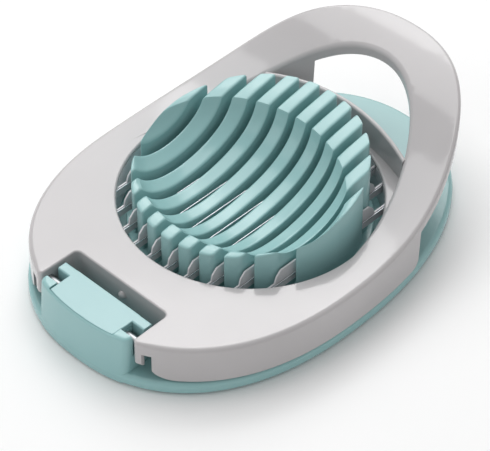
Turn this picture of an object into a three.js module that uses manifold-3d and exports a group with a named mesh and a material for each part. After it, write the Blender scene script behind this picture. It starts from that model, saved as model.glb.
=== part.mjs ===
// Egg slicer: an oval base with a slatted egg cradle, and a hinged frame of cutting wires with
// a loop handle. Millimetres, +Z up. The origin lies on the table under the centre of the
// round hole. +X points to the handle, and the hinge is at the -X end.
import * as THREE from 'three';
import { mergeVertices } from 'three/addons/utils/BufferGeometryUtils.js';
import Module from 'manifold-3d';

const wasm = await Module();
wasm.setup();

// Clearances and facets
const GAP = 0.3; // between pieces that touch
const CIRCLE_STEPS = 72;
const SMALL_CIRCLE_STEPS = 20;
const BOW_STEPS = 144;
const SCREW_STEPS = 12;
const WIRE_STEPS = 8;
const REACH = 200; // longer than anything in the model, for cutters
const MERGE_DISTANCE = 1e-5;

// Egg cradle: the slats set the size of the round hole, and the hole that of the frame
const SLAT_COUNT = 11;
const SLAT_PITCH = 6.0;
const SLAT_GAP = 2.2;
const GAP_COUNT = SLAT_COUNT - 1;
const CRADLE_EDGE = 1.0; // past the middle of the outermost slat
const CRADLE_RADIUS = ((SLAT_COUNT - 1) / 2) * SLAT_PITCH + CRADLE_EDGE;
const CRADLE_CLEARANCE = 4.0; // from the slats to the hole
const HOLE_RADIUS = CRADLE_RADIUS + CRADLE_CLEARANCE;
const CRADLE_DISC_RADIUS = CRADLE_RADIUS + 1.5;
const CRADLE_DISC_HEIGHT = 3.8;
const CRADLE_PLUG_RADIUS = CRADLE_DISC_RADIUS - 4.2;
const CRADLE_PLUG_DEPTH = 2.6;
const CRADLE_RISE = 9.9; // the rim plane's height over the plate, above SCOOP_X
const CRADLE_TILT = THREE.MathUtils.degToRad(9.6); // the rim rises towards the handle
const SCOOP_X = -4.0;
const SCOOP_HALF_LENGTH = CRADLE_RADIUS - 8.0; // along the slats, at the rim
const SCOOP_HALF_WIDTH = CRADLE_RADIUS; // across the slats, at the rim
const SCOOP_DEPTH = 10.8;
const SCOOP_RISE = 8.0; // the scoop's widest level, above the rim
const SCOOP_POWER = 2.6;
const SCOOP_STEPS = 12;

// Plan outline shared by the base and the frame: an egg-shaped oval
const OVAL_WIDEST_X = -6.5;
const OVAL_POWER_HINGE = 2.32;
const OVAL_POWER_HANDLE = 2.16;
const OVAL_STEPS = 96;
const HINGE_ROOM = 26.5; // from the hole to the frame's hinge end
const HANDLE_ROOM = 28.0; // from the hole to the end of the handle
const SIDE_BAND = 9.4; // from the hole to the frame's sides
const FRAME_HINGE_END = HOLE_RADIUS + HINGE_ROOM;
const FRAME_HANDLE_END = HOLE_RADIUS + HANDLE_ROOM;
const FRAME_HALF_WIDTH = HOLE_RADIUS + SIDE_BAND;

// Base
const BASE_HINGE_END = FRAME_HINGE_END + 1.5;
const BASE_HANDLE_END = FRAME_HANDLE_END - 1.0;
const BASE_HALF_WIDTH = FRAME_HALF_WIDTH - 0.4;
const BASE_HEIGHT = 3.3;
const BASE_TOP_WALL = 1.8;
const BASE_RIM_WALL = 3.0;
const FOOT_RADIUS = 4.0;
const FOOT_HEIGHT = 1.3;
const FOOT_PROUD = 0.6; // the feet stand this far below the base
const FOOT_INSET_X = 22.5; // from the base's ends
const FOOT_INSET_Y = 22.0; // from the base's sides
const FOOT_BOSS_WALL = 1.4;
const BASE_BOTTOM = FOOT_PROUD;
const BASE_TOP = BASE_BOTTOM + BASE_HEIGHT;
const CRADLE_BASE = BASE_TOP + GAP;
const CRADLE_FLOOR = CRADLE_BASE + CRADLE_DISC_HEIGHT;

// Frame
const PLATE_TOP = 15.5;
const PLATE_THICKNESS = 3.2;
const PLATE_UNDERSIDE = PLATE_TOP - PLATE_THICKNESS;
const SKIRT_BOTTOM = BASE_TOP + GAP;
const SKIRT_WALL = 2.0;
const SKIRT_END_X = 19.6; // the skirt stops here and the rails go on alone
const SKIRT_CORNER = 3.0;
const HANDLE_TOP = 35.7; // at the handle's end
const RISE_START_X = -9.6;
const RISE_PULL_X = FRAME_HANDLE_END - 24.2; // where the rise turns from level to steep
const RISE_PULL_Z = HANDLE_TOP - 2.5;
const RISE_STEPS = 26;
const OPENING_CENTRE_X = 5.0 - HOLE_RADIUS; // the loop's inner edge is part of this ellipse
const OPENING_HALF_WIDTH = HOLE_RADIUS + 3.4;
const HANDLE_BAND = 12.4; // width of the loop at the handle's end
const RAIL_WALL = 1.8;
const REAR_WALL = 1.4;
const REAR_WALL_X = HOLE_RADIUS + 0.6; // inner face, in the middle
const REAR_WALL_RADIUS = 68; // the wall bows towards the handle
const RAIL_SKIRT_LENGTH = 5.0; // behind the rear wall
const RAIL_SKIRT_END_X = REAR_WALL_X + REAR_WALL + RAIL_SKIRT_LENGTH;
const RAIL_SKIRT_BOTTOM = SKIRT_BOTTOM + 2.8;

// Hinge
const PIN_X = 7.4 - BASE_HINGE_END;
const PIN_Z = PLATE_TOP - 3.9;
const PIN_RADIUS = 1.3;
const PIN_CLEARANCE = 0.3; // between pin and tower bore
const PIN_PRESS_GAP = 0.12; // between pin and frame ear
const PIN_ENGAGEMENT = 4.0; // into the tower's middle block
const TOWER_HALF_WIDTH = 15.9;
const TOWER_INNER_X = PIN_X + 5.0;
const TOWER_TOP = PLATE_TOP - 0.3;
const TOWER_WALL = 1.5;
const LID_HALF_WIDTH = TOWER_HALF_WIDTH - 4.4;
const LID_TOP = TOWER_TOP - 0.3;
const LID_THICKNESS = 1.3;
const TOWER_DECK = LID_TOP - LID_THICKNESS - GAP;
const KNUCKLE_LENGTH = 3.0; // along X
const KNUCKLE_DEPTH = 6.0; // below the lid's top
const PIN_ROOM_BEHIND = 0.7; // from the pin to the hinge notch's end
const PIN_ROOM_BELOW = 1.6;
const SLOT_INNER_X = TOWER_INNER_X + 4.6;
const SLOT_HALF_WIDTH = TOWER_HALF_WIDTH + 0.6; // at the slot's inner end
const SLOT_FLARE = 0.2; // extra half width at the outline
const SLOT_WALL = 2.2;
const SLOT_WALL_BOTTOM = BASE_TOP + 2.6;
const EAR_WALL = 2.5;
const EAR_BOTTOM = PIN_Z - PIN_RADIUS - 2.2;
const NOTCH_WIDTH = 2.4; // gap between the ear and the skirt
const NOTCH_TOP = PLATE_UNDERSIDE - 0.5;
const SKIRT_START_RISE = 3.0; // the skirt's lower edge climbs this much towards the ear
const SKIRT_START_LENGTH = 3.4; // along X
const NUB_RADIUS = 1.2;
const NUB_STEPS = 12;

// Wire carrier: a ring under the frame with a comb strip at each end of the wires
const CARRIER_WALL = 2.2;
const CARRIER_RADIUS = HOLE_RADIUS + CARRIER_WALL;
const CARRIER_BOTTOM = BASE_TOP + 0.9;
const CARRIER_REBATE = 0.3; // clearance around the carrier under the frame
const COMB_TOP = PLATE_TOP - 1.3;
const COMB_HEIGHT = 3.2;
const COMB_BOTTOM = COMB_TOP - COMB_HEIGHT;
const COMB_END_WIDTH = 3.0; // past the outermost wires
const COMB_HALF_WIDTH = ((GAP_COUNT - 1) / 2) * SLAT_PITCH + COMB_END_WIDTH;
const SEAT_TOP = COMB_BOTTOM - GAP; // of the ring, under the combs
const TOOTH_SIDE_OFFSET = 0.05;
const TOOTH_THICKNESS = 0.45;
const TOOTH_REACH = 4.5; // inside the cradle's edge
const TOOTH_SHOULDER_ROOM = 2.6; // from the blade's shoulder to the hole
const TOOTH_RISE = 1.8; // over the plate
const TOOTH_CHAMFER = 1.6;
const WIRE_RADIUS = 0.2;
const WIRE_Z = COMB_TOP - 0.6;
const WIRE_SIDE_OFFSET = -0.25; // the wire passes beside the comb tooth
const WIRE_END_INSET = 0.4; // from the carrier's outer face
const WIRE_NOTCH = 1.0;
const LUG_RADIUS = 3.2;
const LUG_THICKNESS = 2.0;
const LUG_TOP = SEAT_TOP - 1.5;
const SCREW_ANGLE = THREE.MathUtils.degToRad(50);
const SCREW_RING_RADIUS = CARRIER_RADIUS + 3.4;
const SCREW_HEAD_RADIUS = 2.1;
const SCREW_HEAD_CROWN = 1.7; // radius of the head's outer face
const SCREW_HEAD_HEIGHT = 1.2;
const SCREW_RADIUS = 1.0;
const SCREW_COVER = 2.3; // plastic left over the screw's end
const SCREW_SEAT = LUG_TOP - LUG_THICKNESS - GAP;
const SCREW_LENGTH = PLATE_TOP - SCREW_COVER - SCREW_SEAT; // under the head
const SCREW_BOSS_RADIUS = 2.8;

const MATERIALS = {
  tealAbs: { color: '#8fbdbd', roughness: 0.3, metalness: 0 },
  tealLid: { color: '#a9d2d2', roughness: 0.3, metalness: 0 },
  greyAbs: { color: '#cfcdcf', roughness: 0.22, metalness: 0 },
  paleAbs: { color: '#d9d9da', roughness: 0.35, metalness: 0 },
  stainless: { color: '#b8bcc0', roughness: 0.25, metalness: 1 },
  rubber: { color: '#4a4f50', roughness: 0.8, metalness: 0 },
};

const slicer = new THREE.Group();

function addPiece(name, geometry, finish) {
  const mesh = new THREE.Mesh(geometry, new THREE.MeshStandardMaterial(MATERIALS[finish]));
  mesh.name = name;
  slicer.add(mesh);
  return mesh;
}

// A closed three.js geometry as a solid that can be joined and cut
function solid(geometry) {
  const plain = geometry.clone();
  plain.deleteAttribute('normal');
  plain.deleteAttribute('uv');
  const merged = mergeVertices(plain, MERGE_DISTANCE);
  return new wasm.Manifold(new wasm.Mesh({
    numProp: 3,
    vertProperties: new Float32Array(merged.attributes.position.array),
    triVerts: new Uint32Array(merged.index.array),
  }));
}

function toGeometry(body) {
  const mesh = body.getMesh();
  const geometry = new THREE.BufferGeometry();
  geometry.setAttribute('position', new THREE.BufferAttribute(mesh.vertProperties, 3));
  geometry.setIndex(new THREE.BufferAttribute(mesh.triVerts, 1));
  geometry.computeVertexNormals();
  return geometry;
}

function joined(bodies) {
  return bodies.reduce((whole, body) => whole.add(body));
}

// A plan outline pulled up from one height to another
function prism(points, bottom, top) {
  const shape = points instanceof THREE.Shape ? points : new THREE.Shape(points);
  const geometry = new THREE.ExtrudeGeometry(shape, {
    depth: top - bottom,
    bevelEnabled: false,
    curveSegments: CIRCLE_STEPS / 2,
  });
  geometry.translate(0, 0, bottom);
  return solid(geometry);
}

function block(x0, x1, y0, y1, z0, z1) {
  const geometry = new THREE.BoxGeometry(x1 - x0, y1 - y0, z1 - z0);
  geometry.translate((x0 + x1) / 2, (y0 + y1) / 2, (z0 + z1) / 2);
  return solid(geometry);
}

function drum(radius, bottom, top, x = 0, y = 0, steps = CIRCLE_STEPS) {
  const geometry = new THREE.CylinderGeometry(radius, radius, top - bottom, steps);
  geometry.rotateX(Math.PI / 2);
  geometry.translate(x, y, (bottom + top) / 2);
  return solid(geometry);
}

// A round bar along Y
function crossBar(radius, x, z, y0, y1, steps = SMALL_CIRCLE_STEPS) {
  const geometry = new THREE.CylinderGeometry(radius, radius, y1 - y0, steps);
  geometry.translate(x, (y0 + y1) / 2, z);
  return solid(geometry);
}

// An outline in the XZ plane pulled along Y
function sidePrism(points, y0, y1) {
  const geometry = new THREE.ExtrudeGeometry(new THREE.Shape(points), {
    depth: y1 - y0,
    bevelEnabled: false,
  });
  geometry.rotateX(Math.PI / 2);
  geometry.translate(0, y1, 0);
  return solid(geometry);
}

function oval(hingeEnd, handleEnd, halfWidth, inset = 0) {
  const points = [];
  for (let step = 0; step < OVAL_STEPS; step += 1) {
    const turn = (2 * Math.PI * step) / OVAL_STEPS;
    const along = Math.cos(turn);
    const across = Math.sin(turn);
    const power = along >= 0 ? OVAL_POWER_HANDLE : OVAL_POWER_HINGE;
    const end = along >= 0 ? handleEnd - OVAL_WIDEST_X : hingeEnd + OVAL_WIDEST_X;
    const x = (end - inset) * Math.sign(along) * Math.abs(along) ** (2 / power);
    const y = (halfWidth - inset) * Math.sign(across) * Math.abs(across) ** (2 / power);
    points.push(new THREE.Vector2(OVAL_WIDEST_X + x, y));
  }
  return points;
}

function baseOval(inset = 0) {
  return oval(BASE_HINGE_END, BASE_HANDLE_END, BASE_HALF_WIDTH, inset);
}

function frameOval(inset = 0) {
  return oval(FRAME_HINGE_END, FRAME_HANDLE_END, FRAME_HALF_WIDTH, inset);
}

// Half length of the chord of a circle at a distance from its middle
function chord(radius, y) {
  return Math.sqrt(radius * radius - y * y);
}

function footPlaces() {
  const places = [];
  for (const x of [-(BASE_HINGE_END - FOOT_INSET_X), BASE_HANDLE_END - FOOT_INSET_X]) {
    for (const side of [-1, 1]) {
      places.push({ x, y: side * (BASE_HALF_WIDTH - FOOT_INSET_Y) });
    }
  }
  return places;
}

// The tower's plan: the end of the base's oval between the two cheeks
function towerPlan(inset, innerX, halfWidth, bottom, top) {
  const ends = block(-REACH, innerX, -halfWidth, halfWidth, bottom, top);
  return prism(baseOval(inset), bottom, top).intersect(ends);
}

// Open pockets at both sides of the lid, where the pins cross from the ears to the tower
function hingeNotches() {
  const x1 = TOWER_INNER_X - KNUCKLE_LENGTH;
  const x0 = PIN_X - PIN_RADIUS - PIN_ROOM_BEHIND;
  const floor = PIN_Z - PIN_RADIUS - PIN_ROOM_BELOW;
  const inner = LID_HALF_WIDTH + GAP;
  return block(x0, x1, inner, REACH, floor, REACH).add(block(x0, x1, -REACH, -inner, floor, REACH));
}

function pinBores() {
  const radius = PIN_RADIUS + PIN_CLEARANCE;
  const inner = LID_HALF_WIDTH - PIN_ENGAGEMENT;
  const left = crossBar(radius, PIN_X, PIN_Z, inner, REACH);
  return left.add(crossBar(radius, PIN_X, PIN_Z, -REACH, -inner));
}

function hingeTower() {
  const foundation = BASE_BOTTOM + GAP;
  const knuckleX = TOWER_INNER_X - KNUCKLE_LENGTH - GAP;
  const knuckleFloor = LID_TOP - KNUCKLE_DEPTH - GAP;
  return towerPlan(0, TOWER_INNER_X, TOWER_HALF_WIDTH, foundation, TOWER_TOP)
    .subtract(towerPlan(TOWER_WALL, REACH, REACH, TOWER_DECK, REACH))
    .subtract(block(knuckleX, REACH, -REACH, REACH, knuckleFloor, REACH))
    .subtract(hingeNotches())
    .subtract(pinBores());
}

// The hollow under the base, round the cradle's opening and the feet
function basePocket() {
  const bottom = BASE_BOTTOM - GAP;
  const top = BASE_TOP - BASE_TOP_WALL;
  const ring = drum(CRADLE_PLUG_RADIUS + GAP + BASE_TOP_WALL, 0, REACH);
  let pocket = prism(baseOval(BASE_RIM_WALL), bottom, top).subtract(ring);
  for (const foot of footPlaces()) {
    const radius = FOOT_RADIUS + GAP + FOOT_BOSS_WALL;
    pocket = pocket.subtract(drum(radius, 0, REACH, foot.x, foot.y, SMALL_CIRCLE_STEPS));
  }
  return pocket;
}

function baseTray() {
  let tray = prism(baseOval(), BASE_BOTTOM, BASE_TOP)
    .subtract(basePocket())
    .add(hingeTower())
    .subtract(drum(CRADLE_PLUG_RADIUS + GAP, 0, REACH));
  for (const foot of footPlaces()) {
    const seat = FOOT_HEIGHT + GAP;
    tray = tray.subtract(drum(FOOT_RADIUS + GAP, 0, seat, foot.x, foot.y, SMALL_CIRCLE_STEPS));
  }
  return tray;
}

// The lid of the tower, a T in plan, whose cross bar is the knuckle over the pins
function hingeCover() {
  const inset = TOWER_WALL + GAP;
  const knuckleX = TOWER_INNER_X - KNUCKLE_LENGTH;
  const lid = towerPlan(inset, TOWER_INNER_X, LID_HALF_WIDTH, TOWER_DECK + GAP, LID_TOP);
  const radius = KNUCKLE_LENGTH / 2;
  const middle = knuckleX + radius;
  const low = LID_TOP - KNUCKLE_DEPTH;
  const halfWidth = TOWER_HALF_WIDTH - GAP;
  const bar = block(knuckleX, TOWER_INNER_X, -halfWidth, halfWidth, low + radius, LID_TOP);
  return lid.add(bar).add(crossBar(radius, middle, low + radius, -halfWidth, halfWidth));
}

// The egg-shaped scoop that hollows the slats, standing on the tilted rim plane
function scoop() {
  const depth = SCOOP_RISE + SCOOP_DEPTH;
  const rimShare = (1 - (SCOOP_RISE / depth) ** SCOOP_POWER) ** (1 / SCOOP_POWER);
  const widest = SCOOP_HALF_LENGTH / rimShare;
  const profile = [];
  for (let step = 0; step <= SCOOP_STEPS; step += 1) {
    const turn = (Math.PI / 2) * (step / SCOOP_STEPS);
    const radius = step === 0 ? 0 : widest * Math.sin(turn) ** (2 / SCOOP_POWER);
    const drop = step === SCOOP_STEPS ? 0 : depth * Math.cos(turn) ** (2 / SCOOP_POWER);
    profile.push(new THREE.Vector2(radius, SCOOP_RISE - drop));
  }
  profile.push(new THREE.Vector2(widest, REACH));
  profile.push(new THREE.Vector2(0, REACH));
  const geometry = new THREE.LatheGeometry(profile, CIRCLE_STEPS);
  geometry.rotateX(Math.PI / 2);
  geometry.scale(1, SCOOP_HALF_WIDTH / SCOOP_HALF_LENGTH, 1);
  geometry.rotateY(-CRADLE_TILT);
  geometry.translate(SCOOP_X, 0, PLATE_TOP + CRADLE_RISE);
  return solid(geometry);
}

// Everything above the tilted rim plane
function aboveRim() {
  const geometry = new THREE.BoxGeometry(REACH, REACH, REACH);
  geometry.translate(0, 0, REACH / 2);
  geometry.rotateY(-CRADLE_TILT);
  geometry.translate(SCOOP_X, 0, PLATE_TOP + CRADLE_RISE);
  return solid(geometry);
}

// The middle of each gap between two slats
function gapPlaces() {
  return Array.from({ length: GAP_COUNT }, (_, i) => (i - (GAP_COUNT - 1) / 2) * SLAT_PITCH);
}

function eggCradle() {
  let slats = drum(CRADLE_RADIUS, CRADLE_BASE, REACH).subtract(aboveRim()).subtract(scoop());
  for (const y of gapPlaces()) {
    const half = SLAT_GAP / 2;
    slats = slats.subtract(block(-REACH, REACH, y - half, y + half, CRADLE_FLOOR, REACH));
  }
  return slats
    .add(drum(CRADLE_DISC_RADIUS, CRADLE_BASE, CRADLE_FLOOR))
    .add(drum(CRADLE_PLUG_RADIUS, CRADLE_BASE - CRADLE_PLUG_DEPTH, CRADLE_BASE + GAP));
}

// The frame's top line in side view, from the flat plate up to the end of the handle
function riseCurve() {
  return new THREE.CubicBezierCurve(
    new THREE.Vector2(RISE_START_X, PLATE_TOP),
    new THREE.Vector2(RISE_PULL_X, PLATE_TOP),
    new THREE.Vector2(RISE_PULL_X, RISE_PULL_Z),
    new THREE.Vector2(FRAME_HANDLE_END, HANDLE_TOP),
  );
}

// The side outline of the sheet that the plate and the handle are bent from
function sheetSide() {
  const curve = riseCurve();
  const upper = [new THREE.Vector2(-REACH, PLATE_TOP)];
  const lower = [new THREE.Vector2(-REACH, PLATE_UNDERSIDE)];
  for (let step = 0; step <= RISE_STEPS; step += 1) {
    const point = curve.getPoint(step / RISE_STEPS);
    const along = curve.getTangent(step / RISE_STEPS);
    upper.push(point);
    lower.push(new THREE.Vector2(
      point.x + PLATE_THICKNESS * along.y,
      point.y - PLATE_THICKNESS * along.x,
    ));
  }
  const end = curve.getTangent(1);
  const last = upper[upper.length - 1];
  const lastLow = lower[lower.length - 1];
  upper.push(last.clone().addScaledVector(end, GAP));
  lower.push(lastLow.clone().addScaledVector(end, GAP + PLATE_THICKNESS));
  return upper.reverse().concat(lower);
}

// Everything under the frame's top line and above a height
function underTop(bottom) {
  const outline = [
    new THREE.Vector2(-REACH, bottom),
    new THREE.Vector2(FRAME_HANDLE_END, bottom),
    ...riseCurve().getPoints(RISE_STEPS).reverse(),
    new THREE.Vector2(-REACH, PLATE_TOP),
  ];
  return sidePrism(outline, -REACH, REACH);
}

// The inside of the loop handle in plan, from a given X to the handle's inner end
function loopPlan(grow, startX) {
  const halfLength = FRAME_HANDLE_END - HANDLE_BAND - OPENING_CENTRE_X + grow;
  const halfWidth = OPENING_HALF_WIDTH + grow;
  const start = Math.acos((startX - OPENING_CENTRE_X) / halfLength);
  const points = [];
  for (let step = 0; step <= OVAL_STEPS / 2; step += 1) {
    const turn = start * ((4 * step) / OVAL_STEPS - 1);
    points.push(new THREE.Vector2(
      OPENING_CENTRE_X + halfLength * Math.cos(turn),
      halfWidth * Math.sin(turn),
    ));
  }
  return points;
}

function slotHalfWidth(x) {
  const share = (SLOT_INNER_X - x) / (FRAME_HINGE_END + SLOT_INNER_X);
  return SLOT_HALF_WIDTH + SLOT_FLARE * share;
}

// The hinge slot in plan, or with grown sides the outside of the walls around it
function slotPlan(growX, growY) {
  const farX = -FRAME_HINGE_END - SLOT_WALL;
  const innerX = SLOT_INNER_X + growX;
  const corner = SLOT_WALL / 2;
  const inner = slotHalfWidth(SLOT_INNER_X) + growY;
  const far = slotHalfWidth(farX) + growY;
  const shape = new THREE.Shape();
  shape.moveTo(farX, -far);
  shape.lineTo(innerX - corner, -inner);
  shape.quadraticCurveTo(innerX, -inner, innerX, -inner + corner);
  shape.lineTo(innerX, inner - corner);
  shape.quadraticCurveTo(innerX, inner, innerX - corner, inner);
  shape.lineTo(farX, far);
  return shape;
}

// The outer face of the ears at the pins
function earOuterY() {
  return slotHalfWidth(PIN_X) + EAR_WALL;
}

function slotPrism(growX, growY, bottom, top) {
  const geometry = new THREE.ExtrudeGeometry(slotPlan(growX, growY), {
    depth: top - bottom,
    bevelEnabled: false,
    curveSegments: 4,
  });
  geometry.translate(0, 0, bottom);
  return solid(geometry);
}

// The side outline that the skirt keeps to: its lower edge climbs towards the ears, and its
// far end has a rounded lower corner
function skirtSide() {
  const startX = -FRAME_HINGE_END + SKIRT_START_LENGTH;
  const shape = new THREE.Shape();
  shape.moveTo(-REACH, SKIRT_BOTTOM + SKIRT_START_RISE);
  shape.lineTo(startX, SKIRT_BOTTOM + SKIRT_START_RISE);
  shape.lineTo(startX + SKIRT_START_LENGTH, SKIRT_BOTTOM);
  shape.lineTo(SKIRT_END_X - SKIRT_CORNER, SKIRT_BOTTOM);
  shape.quadraticCurveTo(SKIRT_END_X, SKIRT_BOTTOM, SKIRT_END_X, SKIRT_BOTTOM + SKIRT_CORNER);
  shape.lineTo(SKIRT_END_X, REACH);
  shape.lineTo(-REACH, REACH);
  return shape.getPoints(4);
}

function outerSkirt(topLine) {
  const notchY = earOuterY() + NOTCH_WIDTH;
  const notch = block(-REACH, SLOT_INNER_X - SLOT_WALL, -notchY, notchY, 0, NOTCH_TOP);
  return prism(frameOval(), SKIRT_BOTTOM, REACH)
    .subtract(prism(frameOval(SKIRT_WALL), 0, REACH))
    .intersect(topLine)
    .intersect(sidePrism(skirtSide(), -REACH, REACH))
    .subtract(notch);
}

// The walls around the hinge slot, whose two outer ends are the ears that hold the pins
function slotWalls() {
  const earEnd = SLOT_INNER_X - SLOT_WALL;
  return slotPrism(SLOT_WALL, EAR_WALL, SLOT_WALL_BOTTOM, PLATE_TOP)
    .subtract(block(-REACH, earEnd, -REACH, REACH, 0, EAR_BOTTOM))
    .intersect(prism(frameOval(), 0, REACH));
}

function screwPlaces() {
  const places = [];
  for (const end of [-1, 1]) {
    for (const side of [-1, 1]) {
      places.push({
        x: end * SCREW_RING_RADIUS * Math.cos(SCREW_ANGLE),
        y: side * SCREW_RING_RADIUS * Math.sin(SCREW_ANGLE),
      });
    }
  }
  return places;
}

function screwBore(place, top) {
  return drum(SCREW_RADIUS + GAP, 0, top, place.x, place.y, SCREW_STEPS);
}

function topFrame() {
  const topLine = underTop(0);
  const behindWall = REAR_WALL_X + REAR_WALL;
  const startX = RISE_START_X - PLATE_THICKNESS;
  const bowCentreX = behindWall - REAR_WALL_RADIUS;
  const bowedFront = drum(REAR_WALL_RADIUS, 0, REACH, bowCentreX, 0, BOW_STEPS);
  const bowedInside = drum(REAR_WALL_RADIUS - REAR_WALL, 0, REACH, bowCentreX, 0, BOW_STEPS);
  const sheet = sidePrism(sheetSide(), -REACH, REACH)
    .intersect(prism(frameOval(), 0, REACH))
    .subtract(prism(loopPlan(0, RISE_START_X), 0, REACH));
  const floor = prism(loopPlan(RAIL_WALL, startX), PLATE_UNDERSIDE, PLATE_TOP)
    .intersect(bowedFront);
  const rails = prism(loopPlan(RAIL_WALL, startX), 0, REACH)
    .subtract(prism(loopPlan(0, RISE_START_X), 0, REACH))
    .intersect(topLine);
  const nearRails = block(-REACH, behindWall, -REACH, REACH, PLATE_UNDERSIDE, REACH);
  const farRails = block(REAR_WALL_X, RAIL_SKIRT_END_X, -REACH, REACH, RAIL_SKIRT_BOTTOM, REACH);
  const rearWall = prism(loopPlan(RAIL_WALL, startX), PLATE_UNDERSIDE, REACH)
    .intersect(bowedFront)
    .subtract(bowedInside)
    .intersect(block(0, REACH, -REACH, REACH, 0, REACH))
    .intersect(topLine);
  const nub = new THREE.SphereGeometry(NUB_RADIUS, NUB_STEPS, NUB_STEPS);
  nub.translate(SLOT_INNER_X, 0, PIN_Z - NUB_RADIUS);
  const bosses = screwPlaces().map((place) => (
    drum(SCREW_BOSS_RADIUS, LUG_TOP + GAP, REACH, place.x, place.y, SMALL_CIRCLE_STEPS)
      .intersect(topLine)
  ));
  let frame = joined([
    sheet,
    floor,
    rails.intersect(nearRails),
    rails.intersect(farRails),
    rearWall,
    outerSkirt(topLine),
    slotWalls(),
    ...bosses,
  ]);
  frame = frame
    .subtract(slotPrism(0, 0, 0, REACH))
    .add(solid(nub))
    .subtract(drum(HOLE_RADIUS, 0, REACH))
    .subtract(drum(CARRIER_RADIUS + CARRIER_REBATE, 0, COMB_TOP + GAP))
    .subtract(crossBar(PIN_RADIUS + PIN_PRESS_GAP, PIN_X, PIN_Z, -earOuterY(), earOuterY()));
  for (const place of screwPlaces()) {
    frame = frame.subtract(screwBore(place, SCREW_SEAT + SCREW_LENGTH + GAP));
  }
  return frame;
}

// One comb tooth: a thin upright blade that reaches from the comb into a gap
function tooth(y, end) {
  const root = chord(CARRIER_RADIUS - CARRIER_WALL / 2, y);
  const shoulder = chord(HOLE_RADIUS - TOOTH_SHOULDER_ROOM, y);
  const tip = chord(CRADLE_RADIUS, y) - TOOTH_REACH;
  const top = PLATE_TOP + TOOTH_RISE;
  const outline = [
    [tip, COMB_BOTTOM],
    [root, COMB_BOTTOM],
    [root, COMB_TOP - GAP],
    [shoulder, COMB_TOP - GAP],
    [shoulder, top - TOOTH_CHAMFER],
    [shoulder - TOOTH_CHAMFER, top],
    [tip, top],
  ].map(([x, z]) => new THREE.Vector2(end * x, z));
  const y0 = y + TOOTH_SIDE_OFFSET;
  return sidePrism(outline, y0, y0 + TOOTH_THICKNESS);
}

// A strip along the hole's edge whose teeth keep the wires apart, at the hinge end (-1) or
// at the handle end (1) of the wires
function wireComb(end) {
  const side = block(0, REACH, -COMB_HALF_WIDTH, COMB_HALF_WIDTH, COMB_BOTTOM, COMB_TOP);
  let comb = drum(CARRIER_RADIUS, COMB_BOTTOM, COMB_TOP)
    .intersect(side.scale([end, 1, 1]))
    .subtract(drum(HOLE_RADIUS, 0, REACH));
  for (const y of gapPlaces()) {
    const wireY = y + WIRE_SIDE_OFFSET;
    const half = WIRE_NOTCH / 2;
    const notch = block(-REACH, REACH, wireY - half, wireY + half, WIRE_Z - half, REACH);
    comb = comb.subtract(notch).add(tooth(y, end));
  }
  return comb;
}

function lugArm(place) {
  const reach = SCREW_RING_RADIUS - HOLE_RADIUS - CARRIER_WALL / 2;
  const geometry = new THREE.BoxGeometry(reach, 2 * LUG_RADIUS, LUG_THICKNESS);
  geometry.translate(SCREW_RING_RADIUS - reach / 2, 0, LUG_TOP - LUG_THICKNESS / 2);
  geometry.rotateZ(Math.atan2(place.y, place.x));
  return solid(geometry);
}

// The ring that holds both combs against the frame, with a lug for each screw
function wireCarrier() {
  const seat = COMB_HALF_WIDTH + GAP;
  let carrier = drum(CARRIER_RADIUS, CARRIER_BOTTOM, COMB_TOP)
    .subtract(block(-REACH, REACH, -seat, seat, SEAT_TOP, REACH));
  const lugBottom = LUG_TOP - LUG_THICKNESS;
  for (const place of screwPlaces()) {
    const lug = drum(LUG_RADIUS, lugBottom, LUG_TOP, place.x, place.y, SMALL_CIRCLE_STEPS);
    carrier = carrier.add(lug).add(lugArm(place)).subtract(screwBore(place, REACH));
  }
  return carrier.subtract(drum(HOLE_RADIUS, 0, REACH));
}

function wire(y) {
  const halfLength = chord(CARRIER_RADIUS - WIRE_END_INSET, y);
  const geometry = new THREE.CylinderGeometry(WIRE_RADIUS, WIRE_RADIUS, 2 * halfLength, WIRE_STEPS);
  geometry.rotateZ(Math.PI / 2);
  return geometry;
}

function pinSpan() {
  return { inner: LID_HALF_WIDTH - PIN_ENGAGEMENT + GAP, outer: earOuterY() - GAP };
}

function hingePin() {
  const length = pinSpan().outer - pinSpan().inner;
  return new THREE.CylinderGeometry(PIN_RADIUS, PIN_RADIUS, length, SMALL_CIRCLE_STEPS);
}

function carrierScrew() {
  const geometry = new THREE.LatheGeometry([
    new THREE.Vector2(0, -SCREW_HEAD_HEIGHT),
    new THREE.Vector2(SCREW_HEAD_CROWN, -SCREW_HEAD_HEIGHT),
    new THREE.Vector2(SCREW_HEAD_RADIUS, 0),
    new THREE.Vector2(SCREW_RADIUS, 0),
    new THREE.Vector2(SCREW_RADIUS, SCREW_LENGTH - SCREW_RADIUS),
    new THREE.Vector2(0, SCREW_LENGTH),
  ], SCREW_STEPS);
  geometry.rotateX(Math.PI / 2);
  return geometry;
}

function foot() {
  const steps = SMALL_CIRCLE_STEPS;
  const geometry = new THREE.CylinderGeometry(FOOT_RADIUS, FOOT_RADIUS, FOOT_HEIGHT, steps);
  geometry.rotateX(Math.PI / 2);
  return geometry;
}

addPiece('base_tray', toGeometry(baseTray()), 'tealAbs');
addPiece('hinge_cover', toGeometry(hingeCover()), 'tealLid');
addPiece('egg_cradle', toGeometry(eggCradle()), 'tealAbs');
addPiece('top_frame', toGeometry(topFrame()), 'greyAbs');
addPiece('wire_carrier', toGeometry(wireCarrier()), 'paleAbs');
addPiece('wire_comb_hinge', toGeometry(wireComb(-1)), 'paleAbs');
addPiece('wire_comb_handle', toGeometry(wireComb(1)), 'paleAbs');

gapPlaces().forEach((y, i) => {
  const piece = addPiece(`wire_${String(i + 1).padStart(2, '0')}`, wire(y), 'stainless');
  piece.position.set(0, y + WIRE_SIDE_OFFSET, WIRE_Z);
});

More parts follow.
